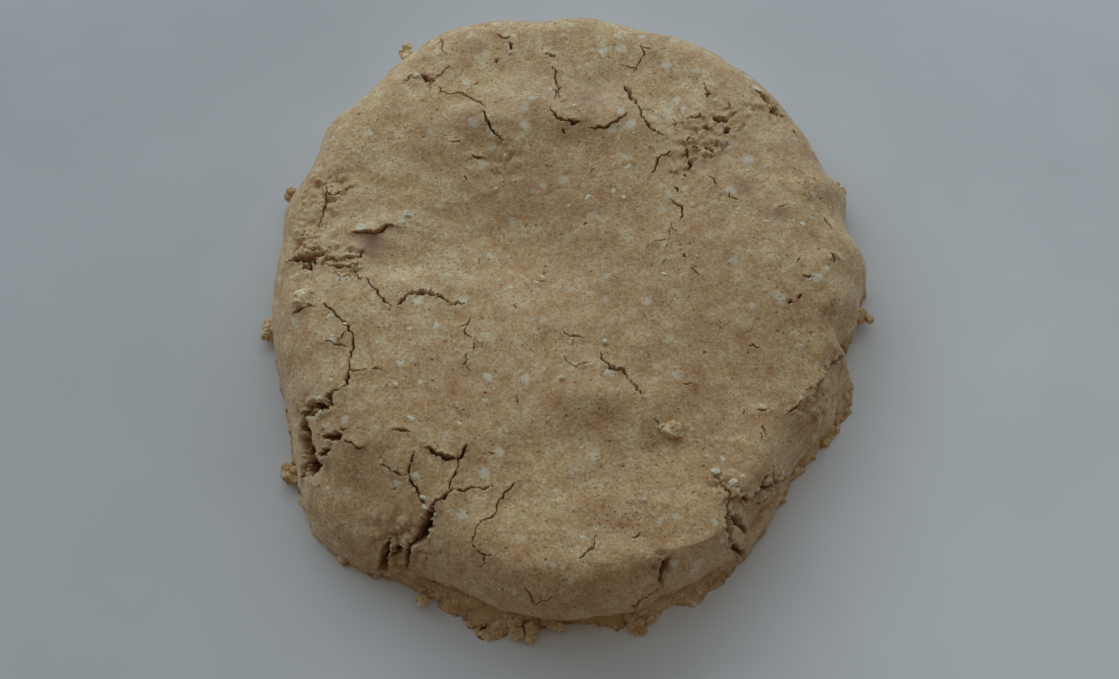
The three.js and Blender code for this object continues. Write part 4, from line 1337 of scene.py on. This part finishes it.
def opaque(colour):
    return (*colour, 1.0)


def new_material(name):
    """An empty material, its node maker and its place on the piece."""
    material = bpy.data.materials.new(name)
    material.use_nodes = True
    material.node_tree.nodes.clear()
    maker = Tree(material.node_tree)
    return material, maker, maker.add("ShaderNodeTexCoord").outputs["Object"]


def grain_node(maker, place, colours, base, fleck_share):
    group = bpy.data.node_groups.get("Dough Grain") or dough_grain_group()
    grain = maker.add("ShaderNodeGroup", node_tree=group)
    values = {
        "Vector": place,
        "Dough": opaque(base),
        "Warm": opaque(colours.warm),
        "Pale": opaque(colours.pale),
        "Speck": opaque(colours.speck),
        "Fleck Share": fleck_share,
    }
    for name, value in values.items():
        maker.put(grain.inputs[name], value)
    return grain.outputs


def finish_material(maker, colour, roughness, height, bump, sheen=0.0):
    raised = maker.add("ShaderNodeBump", {
        "Strength": bump.strength, "Distance": bump.distance, "Height": height})
    surface = maker.add("ShaderNodeBsdfPrincipled", {
        "Base Color": colour,
        "Roughness": roughness,
        "Normal": raised.outputs[0],
        "Specular IOR Level": SPECULAR,
        "Sheen Weight": sheen,
        "Sheen Roughness": SHEEN_ROUGHNESS,
    })
    maker.add("ShaderNodeOutputMaterial", {"Surface": surface.outputs[0]})


def dough_material(colours):
    material, maker, place = new_material("polvoron_dough")
    grain = grain_node(maker, place, colours, colours.dough, LARGE_FLECKS.share)

    def mark(name):
        return maker.add("ShaderNodeAttribute", attribute_name=name).outputs["Fac"]

    # Partly painted light: a paler, cooler tone where the far, left and right sides catch sheen and light,
    # partly drier dough
    dry_and_painted_light_tone = maker.mix(mark("dry_and_painted_light"), opaque((1.0, 1.0, 1.0)), opaque(DRY_AND_PAINTED_LIGHT_TONE))
    colour = maker.mix(1.0, grain["Colour"], dry_and_painted_light_tone, "MULTIPLY")
    crack = mark("crack")
    layers = (
        (maker.times(mark("broken"), 0.5), colours.crumb),
        # painted shade in the crevices between broken plates
        (maker.times(mark("crevice"), 0.55), colours.crevice),
        (maker.times(mark("rim"), 0.35), colours.pale),
        # stains, and painted shade in the broad patch over the middle right
        (maker.times(mark("stain_and_painted_shade"), 0.8), colours.stain_and_painted_shade),
        # painted shade at a crack's mouth
        (maker.ramp(crack, 0.02, 0.4, 0.0, 0.85), colours.crevice),
        # painted shade deep in a crack
        (maker.ramp(crack, 0.4, 0.95, 0.0, 0.9), colours.crack),
    )
    for share, layer in layers:
        colour = maker.mix(share, colour, opaque(layer))
    finish_material(maker, colour, grain["Roughness"], grain["Height"], DOUGH_BUMP, DOUGH_SHEEN)
    return material


def crumb_material(colours):
    material, maker, place = new_material("broken_crumb")
    grain = grain_node(maker, place, colours, colours.crumb, CRUMB_FLECK_SHARE)
    finish_material(maker, grain["Colour"], grain["Roughness"], grain["Height"], CRUMB_BUMP)
    return material


def fleck_material(colours):
    material, maker, place = new_material("almond_fleck")
    shade = maker.noise(place, 700.0, 3.0, 0.6)
    colour = maker.mix(maker.ramp(shade, 0.45, 0.85), opaque(colours.pale), opaque(colours.dough))
    roughness = maker.ramp(shade, 0.3, 0.7, 0.55, 0.75, smooth=False)
    finish_material(maker, colour, roughness, shade, FLECK_BUMP)
    return material


def floor_material(colour):
    material, maker, place = new_material("pale_floor")
    cloud_and_painted_light = maker.ramp(maker.noise(place, 14.0, 3.0, 0.55), 0.3, 0.7, 0.95, 1.05, smooth=False)
    across, along, _ = maker.parts(place)
    # Lighter towards the right and the near side: painted light, an uneven pool of light set into the plain
    # floor's colour
    cloud_and_painted_light = maker.times(cloud_and_painted_light, maker.ramp(across, -0.15, 0.15, 0.95, 1.2))
    cloud_and_painted_light = maker.times(cloud_and_painted_light, maker.ramp(along, -0.13, 0.13, 1.16, 0.92))
    grey = maker.add("ShaderNodeCombineColor", {0: cloud_and_painted_light, 1: cloud_and_painted_light, 2: cloud_and_painted_light}).outputs[0]
    tone = maker.mix(1.0, opaque(colour), grey, "MULTIPLY")
    finish_material(maker, tone, maker.ramp(cloud_and_painted_light, 0.95, 1.05, 0.6, 0.75), cloud_and_painted_light, FLOOR_BUMP)
    return material


# Pieces

def settle(piece, replaces=None):
    """Hands a finished piece to the frame."""
    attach(piece, BODY)
    if replaces:
        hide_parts(replaces)


def scatter(bits, per_area, radius, material):
    """Scatters bits over the dough round as a piece of their own."""
    group = bpy.data.node_groups.get("Scatter Bits") or scatter_tree()
    dough = bpy.data.objects["dough_round"].data.copy()
    settle(grown_mesh(bits.piece, dough, group, {
        "Mask": bits.mask,
        "Bits Per Area": per_area,
        "Smallest": radius[0],
        "Largest": radius[1],
        "Flatten": bits.flatten,
        "Sink": bits.sink,
        "Unevenness": bits.unevenness,
        "Detail": bits.detail,
        "Seed": bits.seed,
        "Material": material,
    }))


def grow_lumps(name, places, radii, flats, material):
    mesh = new_mesh(name, places)
    add_attribute(mesh, "radius", np.array(radii) * MM)
    add_attribute(mesh, "flatten", flats)
    group = bpy.data.node_groups.get("Dough Lumps") or lump_tree()
    settle(grown_mesh(name, mesh, group, {"Unevenness": LUMP_UNEVENNESS, "Material": material}))


class MakeDoughRound(bpy.types.Operator):
    """Presses, cracks and colours the dough round"""

    bl_idname = "polvoron.make_round"
    bl_label = "Make Dough Round"

    def execute(self, context):
        shape = context.scene.polvoron_shape
        guide_mesh = crack_guide(shape)
        slab = slab_mesh(shape)
        refine_for_relief(slab, guide_mesh)
        mark_surface(slab)
        guide = new_object("crack_guide", guide_mesh)
        piece = grown_mesh("dough_round", slab, carve_tree(), {
            "Cracks": guide,
            "Crack Raggedness": shape.crack_ragged,
            "Rim Lift": shape.rim_lift,
            "Lump Height": shape.lump_height,
            "Lump Size": shape.lump_size,
            "Grain Height": shape.grain_height,
            "Grain Size": shape.grain_size,
            "Crumb Height": shape.crumb_height,
            "Crumb Size": shape.crumb_size,
            "Material": dough_material(context.scene.polvoron_colours),
        })
        bpy.data.objects.remove(guide)
        settle(piece, NODE)
        return {"FINISHED"}


class MakeCrumbs(bpy.types.Operator):
    """Crumbs along the foot and in the broken places"""

    bl_idname = "polvoron.make_crumbs"
    bl_label = "Make Crumbs"

    def execute(self, context):
        sizes = context.scene.polvoron_bits
        material = crumb_material(context.scene.polvoron_colours)
        scatter(FOOT_CRUMBS, sizes.foot_crumbs_per_m2, sizes.foot_crumb, material)
        scatter(CRACK_CRUMBS, sizes.rim_crumbs_per_m2, sizes.rim_crumb, material)
        return {"FINISHED"}


class MakeFlecks(bpy.types.Operator):
    """Almond flecks set into the surface"""

    bl_idname = "polvoron.make_flecks"
    bl_label = "Make Almond Flecks"

    def execute(self, context):
        sizes = context.scene.polvoron_bits
        dough = bpy.data.objects["dough_round"].data
        add_attribute(dough, ALMOND_FLECKS.mask, read_points(dough)[:, 2] > LOWEST_FLECK)
        material = fleck_material(context.scene.polvoron_colours)
        scatter(ALMOND_FLECKS, sizes.flecks_per_m2, sizes.fleck, material)
        return {"FINISHED"}


class MakeLumps(bpy.types.Operator):
    """Pinches of dough on the top, lumps at the edge and almond grains"""

    bl_idname = "polvoron.make_lumps"
    bl_label = "Make Lumps"

    def execute(self, context):
        shape = context.scene.polvoron_shape
        draw = random.Random(RANDOM_SEED)
        places = []
        radii = []
        flats = []
        for lump in TOP_LUMPS:
            stand = LUMP_STAND * lump.radius * lump.flatten
            places.append(surface_at(shape, lump.x, lump.y) + np.array([0, 0, stand]))
            radii.append(lump.radius)
            flats.append(lump.flatten)
        for lump in EDGE_LUMPS:
            turn = math.radians(lump.at)
            wall = surface_points(shape, lump.at, reach_at_height(shape, lump.at, lump.height))
            place = wall + lump.out * np.array([math.cos(turn), math.sin(turn), 0])
            for _ in range(CLUSTER_BITS):
                shift = np.array([draw.uniform(-1, 1), draw.uniform(-1, 1), draw.uniform(-0.5, 0.4)])
                places.append(place + CLUSTER_SPREAD * lump.radius * shift)
                radii.append(lump.radius * draw.uniform(*CLUSTER_RADIUS))
                flats.append(draw.uniform(*CLUSTER_FLATTEN))
        grow_lumps("dough_lumps", places, radii, flats, bpy.data.materials["broken_crumb"])
        places = [surface_at(shape, grain.x, grain.y) for grain in ALMOND_GRAINS]
        radii = [grain.radius for grain in ALMOND_GRAINS]
        flats = [GRAIN_FLATTEN] * len(ALMOND_GRAINS)
        grow_lumps("almond_grains", places, radii, flats, bpy.data.materials["almond_fleck"])
        return {"FINISHED"}


class MakeStage(bpy.types.Operator):
    """Pale floor, soft light and the camera"""

    bl_idname = "polvoron.make_stage"
    bl_label = "Make Stage"

    def execute(self, context):
        stage = context.scene.polvoron_stage
        self.add_floor(stage)
        self.add_key_light(stage)
        self.add_camera(context, stage)
        context.scene.world = self.soft_room(stage)
        context.scene.view_settings.view_transform = "Standard"
        return {"FINISHED"}

    def add_floor(self, stage):
        mesh = bpy.data.meshes.new("floor")
        corners = [(x * FLOOR_HALF, y * FLOOR_HALF, 0) for x, y in ((-1, -1), (1, -1), (1, 1), (-1, 1))]
        mesh.from_pydata(corners, [], [(0, 1, 2, 3)])
        mesh.materials.append(floor_material(stage.floor))
        new_object("floor", mesh)

    def add_key_light(self, stage):
        lamp = bpy.data.lights.new("key_light", "AREA")
        lamp.shape = "RECTANGLE"
        lamp.size = KEY_WIDTH
        lamp.size_y = KEY_HEIGHT
        lamp.energy = stage.key_power
        lamp.color = KEY_COLOUR
        key = new_object("key_light", lamp)
        key.location = KEY_PLACE
        key.rotation_euler = (-Vector(KEY_PLACE)).to_track_quat("-Z", "Y").to_euler()

    def soft_room(self, stage):
        """Light from all round, brightest and coolest at the far side."""
        world = bpy.data.worlds.new("soft_room")
        world.use_nodes = True
        world.node_tree.nodes.clear()
        maker = Tree(world.node_tree)
        towards = maker.add("ShaderNodeTexCoord").outputs["Generated"]
        share = maker.ramp(maker.vector("DOT_PRODUCT", towards, BRIGHT_SIDE), -0.75, 0.55)
        colour = maker.mix(share, opaque(NEAR_LIGHT), opaque(FAR_LIGHT))
        sky = maker.add("ShaderNodeBackground", {"Color": colour, "Strength": stage.fill_strength})
        maker.add("ShaderNodeOutputWorld", {"Surface": sky.outputs[0]})
        return world

    def add_camera(self, context, stage):
        data = bpy.data.cameras.new("camera")
        data.sensor_fit = "HORIZONTAL"
        data.sensor_width = SENSOR_WIDTH
        data.lens = stage.lens
        camera = new_object("camera", data)
        back = Vector((0, -math.cos(stage.elevation), math.sin(stage.elevation)))
        camera.location = Vector(stage.aim) + back * stage.distance
        camera.rotation_euler = (-back).to_track_quat("-Z", "Y").to_euler()
        context.scene.camera = camera


class PolvoronPanel(bpy.types.Panel):
    """Lists the steps that make the round"""

    bl_idname = "VIEW3D_PT_polvoron"
    bl_label = "Polvoron Dough Round"
    bl_space_type = "VIEW_3D"
    bl_region_type = "UI"
    bl_category = "Polvoron"

    def draw(self, context):
        for operator in OPERATORS:
            self.layout.operator(operator.bl_idname)


OPERATORS = (MakeDoughRound, MakeCrumbs, MakeFlecks, MakeLumps, MakeStage)
SETTINGS = {
    "polvoron_shape": DoughShape,
    "polvoron_bits": BitSizes,
    "polvoron_colours": DoughColours,
    "polvoron_stage": StageSettings,
}


def register():
    for group in (*SETTINGS.values(), *OPERATORS, PolvoronPanel):
        bpy.utils.register_class(group)
    for name, group in SETTINGS.items():
        setattr(bpy.types.Scene, name, bpy.props.PointerProperty(type=group))


def unregister():
    for name in SETTINGS:
        delattr(bpy.types.Scene, name)
    for group in reversed((*SETTINGS.values(), *OPERATORS, PolvoronPanel)):
        bpy.utils.unregister_class(group)


def main():
    register()
    bpy.ops.polvoron.make_round()
    bpy.ops.polvoron.make_crumbs()
    bpy.ops.polvoron.make_flecks()
    bpy.ops.polvoron.make_lumps()
    bpy.ops.polvoron.make_stage()


if __name__ == "__main__":
    main()
